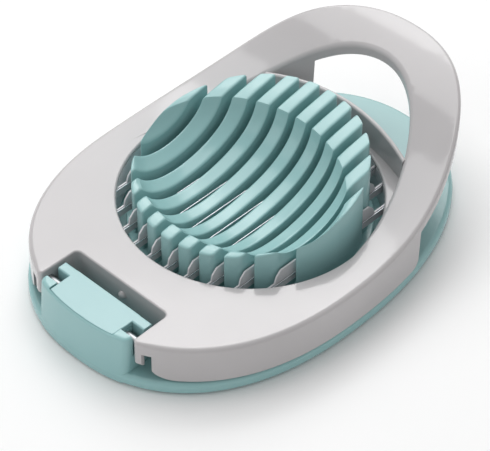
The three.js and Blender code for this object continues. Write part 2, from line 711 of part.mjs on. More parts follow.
for (const [name, side] of [['hinge_pin_left', 1], ['hinge_pin_right', -1]]) {
  const middle = (pinSpan().inner + pinSpan().outer) / 2;
  addPiece(name, hingePin(), 'stainless').position.set(PIN_X, side * middle, PIN_Z);
}

screwPlaces().forEach((place, i) => {
  const piece = addPiece(`carrier_screw_${i + 1}`, carrierScrew(), 'stainless');
  piece.position.set(place.x, place.y, SCREW_SEAT);
});

footPlaces().forEach((place, i) => {
  addPiece(`foot_${i + 1}`, foot(), 'rubber').position.set(place.x, place.y, FOOT_HEIGHT / 2);
});

export default slicer;
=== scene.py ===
"""Egg slicer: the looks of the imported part.

A teal ABS base with a slatted egg cradle and a hinge tower, and a grey ABS frame that carries
ten cutting wires and rises into a loop handle. Sizes are in millimetres until mesh_piece()
turns them into metres. +X points to the handle, and the hinge is at the -X end.
"""

import math

import bmesh
import bpy
import numpy as np
from mathutils import Matrix, Vector
from mathutils.geometry import delaunay_2d_cdt


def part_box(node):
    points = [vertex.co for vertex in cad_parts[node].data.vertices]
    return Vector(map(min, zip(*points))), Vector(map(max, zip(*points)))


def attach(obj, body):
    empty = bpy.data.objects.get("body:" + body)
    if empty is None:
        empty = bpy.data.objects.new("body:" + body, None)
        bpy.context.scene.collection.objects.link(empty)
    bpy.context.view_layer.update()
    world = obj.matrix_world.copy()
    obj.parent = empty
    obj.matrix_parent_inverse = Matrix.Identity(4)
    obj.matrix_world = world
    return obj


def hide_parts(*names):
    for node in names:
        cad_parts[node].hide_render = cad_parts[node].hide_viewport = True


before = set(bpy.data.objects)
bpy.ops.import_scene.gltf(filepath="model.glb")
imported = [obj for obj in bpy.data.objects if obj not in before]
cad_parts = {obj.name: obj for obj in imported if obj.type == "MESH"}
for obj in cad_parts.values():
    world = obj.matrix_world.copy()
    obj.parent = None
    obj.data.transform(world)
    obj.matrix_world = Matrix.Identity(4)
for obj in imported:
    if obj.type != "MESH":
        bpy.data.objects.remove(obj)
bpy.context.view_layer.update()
MM = 0.001
MERGE = 1e-6  # metres


def box_mm(node):
    """Lowest and highest corner of a CAD node, in millimetres."""
    low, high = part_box(node)
    return low / MM, high / MM


BASE_LOW, BASE_HIGH = box_mm("base_tray")
FRAME_HIGH = box_mm("top_frame")[1]
CRADLE_LOW, CRADLE_HIGH = box_mm("egg_cradle")
COVER_LOW, COVER_HIGH = box_mm("hinge_cover")
PIN_LOW, PIN_HIGH = box_mm("hinge_pin_left")
CARRIER_LOW = box_mm("wire_carrier")[0]

# Tools that are joined to a piece or cut it
OVERLAP = 1.0  # how far a tool goes past a face
TOOL_TOP = 40.0  # above every piece
TOOL_END = 70.0  # past either end of the slicer
TOOL_SIDE = 30.0  # past the tower's cheeks

# Plan outline shared by the base and the frame: an egg-shaped oval
OVAL_WIDEST_X = -6.5
OVAL_POWER_HINGE = 2.32
OVAL_POWER_HANDLE = 2.16
OUTLINE_STEP = 0.7  # between outline points

# Frame sheet
PLATE_TOP = 15.5
PLATE_THICKNESS = 3.2
PLATE_UNDERSIDE = PLATE_TOP - PLATE_THICKNESS
RISE_POINTS = ((-9.6, PLATE_TOP), (38.8, PLATE_TOP), (38.8, 33.2), (FRAME_HIGH.x, FRAME_HIGH.z))
HOLE_RADIUS = 35.0
LOOP_CENTRE_X = -30.0  # the loop's inner edge is part of this ellipse
LOOP_HALF_LENGTH = 80.6
LOOP_HALF_WIDTH = 38.4
LOOP_BACK_LENGTH = 12.0  # the hidden closing half of the ellipse, towards the hinge
HOLE_ROUND = 0.6
FRAME_HINGE_END = 61.5
SKIRT_BOTTOM = 4.2
SKIRT_WALL = 2.0
SKIRT_END_X = 19.6
SKIRT_CORNER = 3.0
SKIRT_START_X = -56.9  # its lower edge climbs towards the ears from here
SKIRT_START_LENGTH = 3.4
SKIRT_START_RISE = 3.0
RAIL_WALL = 1.8
HIDDEN_WALL = 0.2
NO_GRID = 1000.0  # past the end of the piece: a flat plate needs no grid of inner points
RAIL_SKIRT_BOTTOM = 7.0
RAIL_SKIRT_END_X = 42.0
REAR_WALL_X = 35.6
REAR_WALL = 1.4
REAR_WALL_RADIUS = 68.0  # the wall bows towards the handle
WALL_END_Y = 24.0  # where it meets the rails
OUTER_ROUND = 1.25  # radius of the frame's outer top edge
LOOP_ROUND = 1.1
SLOT_ROUND = 0.5
LOWER_ROUND = 0.5

# Base and hinge tower
BASE_TOP = 3.9
BASE_TOP_WALL = 1.8
BASE_RIM_WALL = 3.0
BASE_ROUND = 1.3
BASE_LOWER_ROUND = 0.8
PLUG_OPENING = 28.6
FOOT_BOSS = 1.7
FEET = ("foot_1", "foot_2", "foot_3", "foot_4")
SEAM = 0.15  # visible gap round the lid and the feet
TOWER_HALF_WIDTH = 15.9
TOWER_WALL = 1.5
TOWER_SIDE_SLOPE = 0.3  # X per Y from the oval to the cheek's corner
TOWER_ROUND = 1.0
TOWER_CORNER = 1.6
TOWER_LEAN = 1.2  # inward, at the top
TOWER_LEAN_REACH = 6.0
LID_HALF_WIDTH = 11.5
LID_THICKNESS = 1.6
LID_ROUND = 0.35
KNUCKLE_LENGTH = 3.0
KNUCKLE_ROUND = 0.5
PIN_ROOM_BEHIND = 0.7
PIN_ROOM_BELOW = 1.6

# Egg cradle
SLAT_COUNT = 11
SLAT_PITCH = 6.0
SLAT_GAP = 2.2
CRADLE_RADIUS = 31.0
CRADLE_FLOOR = 8.0
CRADLE_TILT = 9.6  # degrees
RIM_HEIGHT = 25.4  # of the tilted rim plane over SCOOP_X
SCOOP_X = -4.0
SCOOP_HALF_LENGTH = 23.0
SCOOP_HALF_WIDTH = 31.0
SCOOP_DEPTH = 10.8
SCOOP_RISE = 8.0
SCOOP_POWER = 2.6
LAND_SHARE = 6 / 26  # of half a slat's grid: 6 of 26 columns lie on each land
SLAT_SIDE_LIMIT = 0.9995  # of the cradle's radius: the outer slats' sides end here
LEAST_LAND = 0.06  # of the slat's length
MOST_LAND = 0.45
SLAT_MERGE = 2e-5  # metres
SLAT_SINK = 0.5  # how far a slat goes into the disc
SLAT_ROUND = 0.5
SLAT_END_ROUND = 0.9
SCOOP_RIM_ROUND = 0.5
DISC_BOTTOM = 4.2
DISC_ROUND = 0.5

# Wire carrier, combs, wires and small parts
PLAY = 0.3  # between pieces that touch
CARRIER_RADIUS = 37.2
COMB_TOP = 14.2
COMB_BOTTOM = 11.0
TOOTH_THICKNESS = 0.45
TOOTH_OFFSET = 0.05
TOOTH_REACH = 4.5  # inside the cradle's edge
TOOTH_CHAMFER = 1.6
TOOTH_TOP = 17.3
TOOTH_ROOT_TOP = 13.9
TOOTH_SHOULDER_RADIUS = 32.4
TOOTH_ROOT_RADIUS = 36.1
WIRE_RADIUS = 0.2
WIRE_Z = 13.6
WIRE_OFFSET = -0.25
WIRE_NOTCH = 1.0
WIRE_REACH_RADIUS = 36.8
LUG_RADIUS = 3.2
LUG_THICKNESS = 2.0
LUG_TOP = 9.2
SCREW_RADIUS = 1.0
SCREW_HEAD_RADIUS = 2.1
SCREW_HEAD_HEIGHT = 1.2
SCREW_RECESS = 2.4
SCREW_RECESS_WIDTH = 0.5
SCREW_RECESS_DEPTH = 0.7
SCREW_BOSS_RADIUS = 2.8
SCREW_COVER = 2.3  # plastic over the screw's end
PIN_PRESS_GAP = 0.12
FOOT_ROUND = 0.4
PIN_CHAMFER = 0.25
REBATE_RADIUS = 37.5
REBATE_TOP = 14.5
NUB_RADIUS = 1.2
NUB_Z = 10.8

# Hinge slot
SLOT_INNER_X = -46.0
SLOT_HALF_WIDTH = 16.5
SLOT_MOUTH_HALF_WIDTH = 16.7
SLOT_CORNER = 1.5
MOUTH_CORNER = 1.7
SLOT_WALL = 0.9
SLOT_WALL_BOTTOM = 6.5
EAR_END_X = -48.2
EAR_BOTTOM = 8.1
EAR_OUTER_Y = 19.2
NOTCH_OUTER_Y = 21.6
NOTCH_TOP = 11.8
NOTCH_INNER_X = -50.0


def rise_table():
    """The frame's top line in side view as (x, z, slope) samples of its Bezier curve."""
    t = np.linspace(0, 1, 1201)[:, None]
    p = [np.array(point) for point in RISE_POINTS]
    curve = (1 - t) ** 3 * p[0] + 3 * t * (1 - t) ** 2 * p[1] + 3 * t * t * (1 - t) * p[2] + t**3 * p[3]
    return curve[:, 0], curve[:, 1], np.gradient(curve[:, 1], curve[:, 0])


RISE_X, RISE_Z, RISE_SLOPE = rise_table()


def top_line(x):
    return float(np.interp(x, RISE_X, RISE_Z))


def under_line(x):
    slope = float(np.interp(x, RISE_X, RISE_SLOPE))
    return top_line(x) - PLATE_THICKNESS * math.sqrt(1 + slope * slope)


def signed_power(value, power):
    return math.copysign(abs(value) ** power, value)


def oval(low, high, count=720):
    """The plan outline, counterclockwise, that fits a CAD box."""
    points = []
    for step in range(count):
        turn = 2 * math.pi * step / count
        along, across = math.cos(turn), math.sin(turn)
        power = OVAL_POWER_HANDLE if along >= 0 else OVAL_POWER_HINGE
        reach = high.x - OVAL_WIDEST_X if along >= 0 else OVAL_WIDEST_X - low.x
        x = OVAL_WIDEST_X + reach * signed_power(along, 2 / power)
        points.append(Vector((x, high.y * signed_power(across, 2 / power))))
    return points


def evenly(points, step, closed=True):
    """The same polyline with points a step apart."""
    ring = points + [points[0]] if closed else points
    lengths = np.cumsum([0] + [(b - a).length for a, b in zip(ring, ring[1:])])
    count = max(2, round(lengths[-1] / step))
    marks = np.linspace(0, lengths[-1], count + 1)
    xs = np.interp(marks, lengths, [p.x for p in ring])
    ys = np.interp(marks, lengths, [p.y for p in ring])
    made = [Vector(pair) for pair in zip(xs, ys)]
    return made[:-1] if closed else made


def corner(before, at, after, leg, steps=8):
    """Points of the arc that rounds a corner, a leg away from it on both sides."""
    back, ahead = (before - at).normalized(), (after - at).normalized()
    half = back.angle(ahead) / 2
    centre = at + (back + ahead).normalized() * leg / math.cos(half)
    start, end = at + back * leg - centre, at + ahead * leg - centre
    turn = math.pi - 2 * half
    points = []
    for step in range(steps + 1):
        share = step / steps
        early, late = math.sin((1 - share) * turn), math.sin(share * turn)
        points.append(centre + (start * early + end * late) / math.sin(turn))
    return points


def hole_edge(radius, count):
    """A round hole's edge about the origin, clockwise, so that the material is to its left."""
    turns = [-2 * math.pi * step / count for step in range(count)]
    return [Vector((radius * math.cos(turn), radius * math.sin(turn))) for turn in turns]


def inward(points):
    """Unit normals to the left of a closed polyline, which is the side of the material."""
    normals = []
    for i, point in enumerate(points):
        along = (points[(i + 1) % len(points)] - points[i - 1]).normalized()
        normals.append(Vector((-along.y, along.x)))
    return normals


def inside(points_2d, loops):
    """Which of many points lie inside the outer loop and outside the holes (even-odd rule)."""
    px, py = points_2d[:, 0], points_2d[:, 1]
    found = np.zeros(len(points_2d), bool)
    for loop in loops:
        x = np.array([p.x for p in loop])
        y = np.array([p.y for p in loop])
        x2, y2 = np.roll(x, -1), np.roll(y, -1)
        for a, b, c, d in zip(x, y, x2, y2):
            if b != d:
                crosses = (b > py) != (d > py)
                found ^= crosses & (px < (c - a) * (py - b) / (d - b) + a)
    return found


def cap_faces(rings, loops, spacing, start_x):
    """Triangles that fill a plan region. rings holds each loop's vertex numbers. Returns the
    extra plan points and the triangles, which use numbers past the rings' for the extras."""
    plan = [point for loop in loops for point in loop]
    numbers = [number for ring in rings for number in ring]
    edges, first = [], 0
    for loop in loops:
        edges += [(first + i, first + (i + 1) % len(loop)) for i in range(len(loop))]
        first += len(loop)
    low_x, high_x = min(p.x for p in plan), max(p.x for p in plan)
    low_y, high_y = min(p.y for p in plan), max(p.y for p in plan)
    grid = np.array([
        (x, y)
        for x in np.arange(max(low_x, start_x), high_x, spacing)
        for y in np.arange(low_y, high_y, 1.6 * spacing)
    ]).reshape(-1, 2)
    grid = grid[inside(grid, loops)]
    border = np.array([tuple(p) for p in plan])
    near = np.array([np.min(np.sum((border - g) ** 2, axis=1)) for g in grid])
    extras = [Vector(g) for g in grid[near > (0.6 * spacing) ** 2]] if len(grid) else []
    made = delaunay_2d_cdt(plan + extras, edges, [], 0, 1e-5, True)
    out_points, out_faces, source = made[0], made[2], made[3]
    centres = np.array([
        tuple(sum((out_points[i] for i in face), Vector((0, 0))) / len(face)) for face in out_faces
    ])
    kept = inside(centres, loops)
    faces = [[source[i][0] for i in face] for face, keep in zip(out_faces, kept) if keep]
    return extras, numbers, faces


def shell(loops, top, under, spacing=2.0, start_x=-10.0, rows=5):
    """A closed plate with rounded edges whose borders may hang down as skirts.

    loops is a list of (points, border), material to the left of the points, and border(point)
    gives (radius of the top edge, height of the border's foot or None, wall, foot radius).
    top and under give the plate's two heights from x."""
    verts, faces, plan_top, plan_under, ring_top, ring_under = [], [], [], [], [], []
    for points, border in loops:
        columns = []
        for point, normal in zip(points, inward(points)):
            radius, foot, wall, foot_round = border(point)
            hangs = foot is not None
            column = []
            for row in range(rows + 1):
                turn = math.pi / 2 * row / rows
                place = point + normal * (radius * (1 - math.sin(turn)))
                column.append((place, top(place.x) - radius * (1 - math.cos(turn))))
            low = foot if hangs else under(point.x)
            for row in range(rows + 1):
                turn = math.pi / 2 * row / rows
                place = point + normal * (foot_round * (1 - math.cos(turn)))
                height = foot if hangs else under(place.x)
                column.append((place, height + foot_round * (1 - math.sin(turn))))
            for row in range(rows + 1):
                turn = math.pi / 2 * row / rows
                place = point + normal * (wall - foot_round * (1 - math.sin(turn)))
                if hangs:
                    column.append((place, foot + foot_round * (1 - math.cos(turn))))
                else:
                    column.append((place, under(place.x)))
            place = point + normal * wall
            column.append((place, max(under(place.x), low)))
            columns.append(column)
        first, depth, count = len(verts), len(columns[0]), len(columns)
        verts += [(place.x, place.y, z) for column in columns for place, z in column]
        for i in range(count):
            a, b = first + i * depth, first + (i + 1) % count * depth
            faces += [(b + k, a + k, a + k + 1, b + k + 1) for k in range(depth - 1)]
        plan_top.append([column[0][0] for column in columns])
        plan_under.append([column[-1][0] for column in columns])
        ring_top.append([first + i * depth for i in range(count)])
        ring_under.append([first + i * depth + depth - 1 for i in range(count)])
    caps = ((plan_top, ring_top, top, False), (plan_under, ring_under, under, True))
    for plan, ring, height, flip in caps:
        extras, numbers, triangles = cap_faces(ring, plan, spacing, start_x)
        numbers = numbers + list(range(len(verts), len(verts) + len(extras)))
        verts += [(p.x, p.y, height(p.x)) for p in extras]
        for triangle in triangles:
            face = [numbers[i] for i in triangle]
            faces.append(tuple(reversed(face)) if flip else tuple(face))
    return verts, faces


def mesh_piece(name, verts, faces):
    """A mesh object from millimetre data, with its doubles merged and its normals outwards."""
    mesh = bpy.data.meshes.new(name)
    mesh.from_pydata([Vector(v) * MM for v in verts], [], faces)
    build = bmesh.new()
    build.from_mesh(mesh)
    bmesh.ops.remove_doubles(build, verts=build.verts, dist=MERGE)
    bmesh.ops.dissolve_degenerate(build, edges=build.edges, dist=MERGE)
    bmesh.ops.recalc_face_normals(build, faces=build.faces)
    build.to_mesh(mesh)
    build.free()
    piece = bpy.data.objects.new(name, mesh)
    bpy.context.scene.collection.objects.link(piece)
    return piece


def evaluated(piece):
    """Applies a piece's modifiers."""
    bpy.context.view_layer.update()
    graph = bpy.context.evaluated_depsgraph_get()
    mesh = bpy.data.meshes.new_from_object(piece.evaluated_get(graph))
    piece.modifiers.clear()
    piece.data = mesh
    return piece


def combined(piece, tool, operation):
    """Joins a tool to a piece, or cuts it away, and removes the tool."""
    step = piece.modifiers.new(operation.lower(), "BOOLEAN")
    step.object, step.operation, step.solver = tool, operation, "MANIFOLD"
    evaluated(piece)
    bpy.data.objects.remove(tool)
    return piece


def lathe(name, profile, count=96, x=0.0, y=0.0):
    """A turned solid: profile is (radius, height) pairs that start and end on the axis."""
    verts = []
    for turn in range(count):
        angle = 2 * math.pi * turn / count
        verts += [(x + r * math.cos(angle), y + r * math.sin(angle), z) for r, z in profile]
    rows = len(profile)
    faces = []
    for turn in range(count):
        a, b = turn * rows, (turn + 1) % count * rows
        faces += [(a + k, b + k, b + k + 1, a + k + 1) for k in range(rows - 1)]
    return mesh_piece(name, verts, faces)


def drum(name, radius, bottom, top, x=0.0, y=0.0, count=96):
    return lathe(name, [(0, bottom), (radius, bottom), (radius, top), (0, top)], count, x, y)


def block(name, low, high):
    corners = [(x, y, z) for x in (low[0], high[0]) for y in (low[1], high[1]) for z in (low[2], high[2])]
    sides = [(0, 1, 3, 2), (4, 6, 7, 5), (0, 4, 5, 1), (2, 3, 7, 6), (0, 2, 6, 4), (1, 5, 7, 3)]
    return mesh_piece(name, corners, sides)


def bar(name, section, y0, y1):
    """A section in the XZ plane pulled along Y."""
    count = len(section)
    verts = [(x, y, z) for y in (y0, y1) for x, z in section]
    faces = [(i, (i + 1) % count, count + (i + 1) % count, count + i) for i in range(count)]
    faces += [tuple(range(count)), tuple(reversed(range(count, 2 * count)))]
    return mesh_piece(name, verts, faces)


def finished(piece, body, material, replaced, angle=32, round_edges=0.0):
    """The last steps of a piece: smooth shading with sharp corners kept, material and frame."""
    mesh = piece.data
    mesh.polygons.foreach_set("use_smooth", [True] * len(mesh.polygons))
    mesh.set_sharp_from_angle(angle=math.radians(angle))
    if round_edges:
        bevel = piece.modifiers.new("edges", "BEVEL")
        bevel.width, bevel.segments = round_edges * MM, 3
        bevel.limit_method, bevel.angle_limit = "ANGLE", math.radians(angle)
        bevel.use_clamp_overlap = True
    even = piece.modifiers.new("even_shading", "WEIGHTED_NORMAL")
    even.keep_sharp = not round_edges
    mesh.materials.clear()
    mesh.materials.append(material)
    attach(piece, body)
    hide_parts(*replaced)
    return piece


# ---------------------------------------------------------------- frame

def slot_half_width(x):
    share = (SLOT_INNER_X - x) / (FRAME_HINGE_END + SLOT_INNER_X)
    return SLOT_HALF_WIDTH + (SLOT_MOUTH_HALF_WIDTH - SLOT_HALF_WIDTH) * share


def frame_outline():
    """The frame's plan outline with the hinge slot, counterclockwise from the slot's mouth."""
    low = Vector((-FRAME_HINGE_END, -FRAME_HIGH.y))
    ring = evenly(oval(low, FRAME_HIGH), OUTLINE_STEP)
    mouth = next(p for p in ring if p.x < 0 and abs(p.y) < slot_half_width(p.x))
    at = Vector((mouth.x, slot_half_width(mouth.x)))
    kept = [p for p in ring if p.x > 0 or abs(p.y) > at.y + MOUTH_CORNER]
    first = kept.index(max((p for p in kept if p.x < 0 and p.y < 0), key=lambda p: p.y))
    kept = kept[first:] + kept[:first]
    inner = Vector((SLOT_INNER_X, SLOT_HALF_WIDTH))
    left = corner(kept[-1], at, inner, MOUTH_CORNER)
    left += evenly([left[-1], inner + (at - inner).normalized() * SLOT_CORNER], OUTLINE_STEP, False)[1:-1]
    left += corner(at, inner, Vector((SLOT_INNER_X, 0)), SLOT_CORNER)
    across = evenly([left[-1], Vector((SLOT_INNER_X, -left[-1].y))], OUTLINE_STEP, False)[1:-1]
    right = [Vector((p.x, -p.y)) for p in reversed(left)]
    return kept + left + across + right


def is_slot(point):
    return point.x < SLOT_INNER_X + 0.01 and abs(point.y) < slot_half_width(point.x) + 0.01


def skirt_foot(point):
    """Height of the outer border's foot, or None where the sheet ends without a skirt."""
    if is_slot(point):
        return EAR_BOTTOM if point.x < EAR_END_X else SLOT_WALL_BOTTOM
    if point.x < SLOT_INNER_X and abs(point.y) < EAR_OUTER_Y:
        return EAR_BOTTOM
    if point.x < SKIRT_START_X + SKIRT_START_LENGTH:
        share = min(1, (SKIRT_START_X + SKIRT_START_LENGTH - point.x) / SKIRT_START_LENGTH)
        return SKIRT_BOTTOM + SKIRT_START_RISE * (1 - math.sqrt(1 - share * share))
    if point.x < SKIRT_END_X - SKIRT_CORNER:
        return SKIRT_BOTTOM
    if point.x < SKIRT_END_X:
        share = (point.x - SKIRT_END_X + SKIRT_CORNER) / SKIRT_CORNER
        return SKIRT_BOTTOM + SKIRT_CORNER * (1 - math.sqrt(1 - share * share))
    return None


def outer_border(point):
    if point.x < SLOT_INNER_X + 0.01 and abs(point.y) < NOTCH_OUTER_Y:
        reach = (abs(point.y) - slot_half_width(point.x)) / (NOTCH_OUTER_Y - SLOT_MOUTH_HALF_WIDTH)
        share = min(1, max(0, reach))
        rounding = SLOT_ROUND + (OUTER_ROUND - SLOT_ROUND) * share
        return rounding, skirt_foot(point), SLOT_WALL, LOWER_ROUND / 2
    return OUTER_ROUND, skirt_foot(point), SKIRT_WALL, LOWER_ROUND


def loop_ring():
    """The loop's inner edge, clockwise, closed by a shorter half ellipse under the plate."""
    points = []
    for step in range(900):
        turn = -2 * math.pi * step / 900
        length = LOOP_HALF_LENGTH if math.cos(turn) > 0 else LOOP_BACK_LENGTH
        points.append(Vector((
            LOOP_CENTRE_X + length * math.cos(turn), LOOP_HALF_WIDTH * math.sin(turn)
        )))
    return evenly(points, OUTLINE_STEP)


def loop_border(point):
    if point.x < RISE_POINTS[0][0]:
        return 0.0, None, HIDDEN_WALL, 0.0
    step = top_line(point.x) - PLATE_TOP
    if point.x < REAR_WALL_X + REAR_WALL / 2:
        return min(LOOP_ROUND, 0.8 * step), PLATE_UNDERSIDE, RAIL_WALL, 0.0
    if point.x < RAIL_SKIRT_END_X:
        return LOOP_ROUND, RAIL_SKIRT_BOTTOM, RAIL_WALL, LOWER_ROUND
    return LOOP_ROUND, None, RAIL_WALL, LOWER_ROUND


def bow_x(y, radius):
    """The bowed rear wall's X at a Y; radius is that of its outer or inner face."""
    return REAR_WALL_X + REAR_WALL - REAR_WALL_RADIUS + math.sqrt(radius * radius - y * y)


def frame_floor():
    """The flat ring round the hole, from inside the plate to inside the rear wall."""
    middle = REAR_WALL_RADIUS - REAR_WALL / 2
    ring = loop_ring()
    edge = [p + n * (RAIL_WALL / 2) for p, n in zip(ring, inward(ring))]
    outer = [Vector((min(p.x, bow_x(p.y, middle)), p.y)) for p in reversed(edge)]
    flat = evenly(outer, OUTLINE_STEP)
    verts, faces = shell(
        [
            (flat, lambda p: (0.0, None, HIDDEN_WALL, 0.0)),
            (hole_edge(HOLE_RADIUS, 240), lambda p: (HOLE_ROUND, None, HIDDEN_WALL, 0.0)),
        ],
        lambda x: PLATE_TOP, lambda x: PLATE_UNDERSIDE, start_x=NO_GRID,
    )
    return mesh_piece("frame_floor", verts, faces)


def rear_wall():
    """An upright wall behind the hole, bowed in plan, with a rounded top that follows the rails."""
    radius, steps = REAR_WALL / 2, 40
    share = (bow_x(WALL_END_Y, REAR_WALL_RADIUS) - LOOP_CENTRE_X) / LOOP_HALF_LENGTH
    reach = LOOP_HALF_WIDTH * math.sqrt(1 - share * share) + RAIL_WALL / 2
    verts, count = [], 0
    for step in range(steps + 1):
        y = reach * (2 * step / steps - 1)
        inner, outer = bow_x(y, REAR_WALL_RADIUS - REAR_WALL), bow_x(y, REAR_WALL_RADIUS)
        middle = (inner + outer) / 2
        top = top_line(middle) - radius
        section = [(inner, PLATE_UNDERSIDE), (outer, PLATE_UNDERSIDE)]
        for k in range(9):
            turn = math.pi * k / 8
            section.append((middle + radius * math.cos(turn), top + radius * math.sin(turn)))
        count = len(section)
        verts += [(x, y, z) for x, z in section]
    faces = []
    for step in range(steps):
        a, b = step * count, (step + 1) * count
        faces += [(a + i, a + (i + 1) % count, b + (i + 1) % count, b + i) for i in range(count)]
    faces += [tuple(range(count)), tuple(reversed(range(steps * count, (steps + 1) * count)))]
    return mesh_piece("rear_wall", verts, faces)


def screw_places():
    places = []
    for number in range(1, 5):
        low, high = box_mm(f"carrier_screw_{number}")
        places.append((low + high) / 2)
    return places


def ball(name, radius, x, y, z):
    profile = [
        (radius * math.sin(math.pi * k / 16), z - radius * math.cos(math.pi * k / 16))
        for k in range(17)
    ]
    return lathe(name, profile, 32, x, y)


def top_frame():
    loops = [(frame_outline(), outer_border), (loop_ring(), loop_border)]
    verts, faces = shell(loops, top_line, under_line)
    piece = mesh_piece("frame_shell", verts, faces)
    combined(piece, frame_floor(), "UNION")
    combined(piece, rear_wall(), "UNION")
    for place in screw_places():
        boss = drum("boss", SCREW_BOSS_RADIUS, LUG_TOP + PLAY, PLATE_TOP - OVERLAP, place.x, place.y, 32)
        combined(piece, boss, "UNION")
        bore = drum("bore", SCREW_RADIUS + PLAY, 0, PLATE_TOP - SCREW_COVER + PLAY, place.x, place.y, 24)
        combined(piece, bore, "DIFFERENCE")
    for y0, y1 in ((EAR_OUTER_Y, NOTCH_OUTER_Y), (-NOTCH_OUTER_Y, -EAR_OUTER_Y)):
        combined(piece, block("notch", (-TOOL_END, y0, 0), (NOTCH_INNER_X, y1, NOTCH_TOP)), "DIFFERENCE")
    combined(piece, ball("nub", NUB_RADIUS, SLOT_INNER_X, 0, NUB_Z), "UNION")
    combined(piece, drum("rebate", REBATE_RADIUS, 0, REBATE_TOP, count=180), "DIFFERENCE")
    pin_x, pin_z = (PIN_LOW.x + PIN_HIGH.x) / 2, (PIN_LOW.z + PIN_HIGH.z) / 2
    radius = (PIN_HIGH.x - PIN_LOW.x) / 2 + PIN_PRESS_GAP
    section = [
        (pin_x + radius * math.cos(2 * math.pi * k / 48), pin_z + radius * math.sin(2 * math.pi * k / 48))
        for k in range(48)
    ]
    reach = PIN_HIGH.y + PLAY
    return combined(piece, bar("bore", section, -reach, reach), "DIFFERENCE")


# ---------------------------------------------------------------- base

def base_plate():
    outline = evenly(oval(BASE_LOW, BASE_HIGH), OUTLINE_STEP)
    verts, faces = shell(
        [
            (outline, lambda p: (BASE_ROUND, BASE_LOW.z, BASE_RIM_WALL, BASE_LOWER_ROUND)),
            (hole_edge(PLUG_OPENING, 144), lambda p: (0.0, BASE_LOW.z, BASE_TOP_WALL, 0.0)),
        ],
        lambda x: BASE_TOP, lambda x: BASE_TOP - BASE_TOP_WALL, start_x=NO_GRID,
    )
    plate = mesh_piece("base_plate", verts, faces)
    for name in FEET:
        low, high = box_mm(name)
        middle, radius = (low + high) / 2, (high.x - low.x) / 2
        boss_top = BASE_TOP - BASE_TOP_WALL / 2
        boss = drum("boss", radius + FOOT_BOSS, BASE_LOW.z, boss_top, middle.x, middle.y, 48)
        combined(plate, boss, "UNION")
        seat = drum("seat", radius + SEAM, -OVERLAP, high.z + SEAM, middle.x, middle.y, 48)
        combined(plate, seat, "DIFFERENCE")
    return plate


def tower_plan(inset, half_width, leg):
    """The end of the base's oval between two cheeks, counterclockwise."""
    low = Vector((BASE_LOW.x + inset, -BASE_HIGH.y + inset))
    high = Vector((BASE_HIGH.x - inset, BASE_HIGH.y - inset))
    ring = evenly(oval(low, high), OUTLINE_STEP)
    end = [p for p in ring if p.x < 0 and abs(p.y) < half_width - max(leg, 2 * HIDDEN_WALL)]
    end.sort(key=lambda p: -p.y)
    side = Vector((end[0].x + (half_width - end[0].y) * TOWER_SIDE_SLOPE, half_width))
    far = Vector((COVER_HIGH.x, half_width))
    upper = corner(far, side, end[0], leg) if leg else [side]
    lower = [Vector((p.x, -p.y)) for p in reversed(upper)]
    return [far] + upper + end + lower + [Vector((far.x, -far.y))]


def tower():
    plan = tower_plan(0, TOWER_HALF_WIDTH, TOWER_CORNER)
    verts, faces = shell(
        [(plan, lambda p: (TOWER_ROUND if p.x < COVER_HIGH.x - OVERLAP else 0.0, None, HIDDEN_WALL, 0.0))],
        lambda x: BASE_HIGH.z, lambda x: BASE_LOW.z + SEAM, start_x=NO_GRID,
    )
    leaned = []
    for x, y, z in verts:
        share = max(0.0, (z - BASE_TOP) / (BASE_HIGH.z - BASE_TOP))
        reach = min(1.0, max(0.0, (COVER_HIGH.x - x) / TOWER_LEAN_REACH))
        leaned.append((x + TOWER_LEAN * share**1.5 * reach, y, z))
    return mesh_piece("tower", leaned, faces)


def base_tray():
    tray = combined(base_plate(), tower(), "UNION")
    recess = tower_plan(TOWER_WALL, LID_HALF_WIDTH + SEAM, 0)
    verts, faces = shell(
        [(recess, lambda p: (0.0, None, HIDDEN_WALL, 0.0))],
        lambda x: TOOL_TOP, lambda x: COVER_HIGH.z - LID_THICKNESS, start_x=NO_GRID,
    )
    combined(tray, mesh_piece("recess", verts, faces), "DIFFERENCE")
    knuckle = COVER_HIGH.x - KNUCKLE_LENGTH
    cuts = [((knuckle - SEAM, -TOOL_SIDE, COVER_LOW.z - SEAM), (0, TOOL_SIDE, TOOL_TOP))]
    room_x, room_z = PIN_LOW.x - PIN_ROOM_BEHIND, PIN_LOW.z - PIN_ROOM_BELOW
    for y0, y1 in ((LID_HALF_WIDTH + SEAM, TOOL_SIDE), (-TOOL_SIDE, -LID_HALF_WIDTH - SEAM)):
        cuts.append(((room_x, y0, room_z), (knuckle, y1, TOOL_TOP)))
    for low, high in cuts:
        combined(tray, block("cut", low, high), "DIFFERENCE")
    return tray


def hinge_cover():
    """The T-shaped lid of the tower: a flat tongue and a knuckle bar over the pins."""
    plan = tower_plan(TOWER_WALL + SEAM, LID_HALF_WIDTH, 0)
    verts, faces = shell(
        [(plan, lambda p: (LID_ROUND, None, HIDDEN_WALL, 0.0))],
        lambda x: COVER_HIGH.z, lambda x: COVER_HIGH.z - LID_THICKNESS + SEAM, start_x=NO_GRID,
    )
    lid = mesh_piece("lid", verts, faces)
    radius, high = KNUCKLE_LENGTH / 2, COVER_HIGH.z
    middle = COVER_HIGH.x - radius
    section = []
    for k in range(13):
        turn = math.pi + math.pi * k / 12
        section.append((middle + radius * math.cos(turn), COVER_LOW.z + radius + radius * math.sin(turn)))
    for side, first in ((1, 0), (-1, 90)):
        for k in range(5):
            turn = math.radians(first + 90 * k / 4)
            x = middle + side * (radius - KNUCKLE_ROUND) + KNUCKLE_ROUND * math.cos(turn)
            section.append((x, high - KNUCKLE_ROUND + KNUCKLE_ROUND * math.sin(turn)))
    return combined(lid, bar("knuckle", section, COVER_LOW.y, COVER_HIGH.y), "UNION")


# ---------------------------------------------------------------- repeated pieces

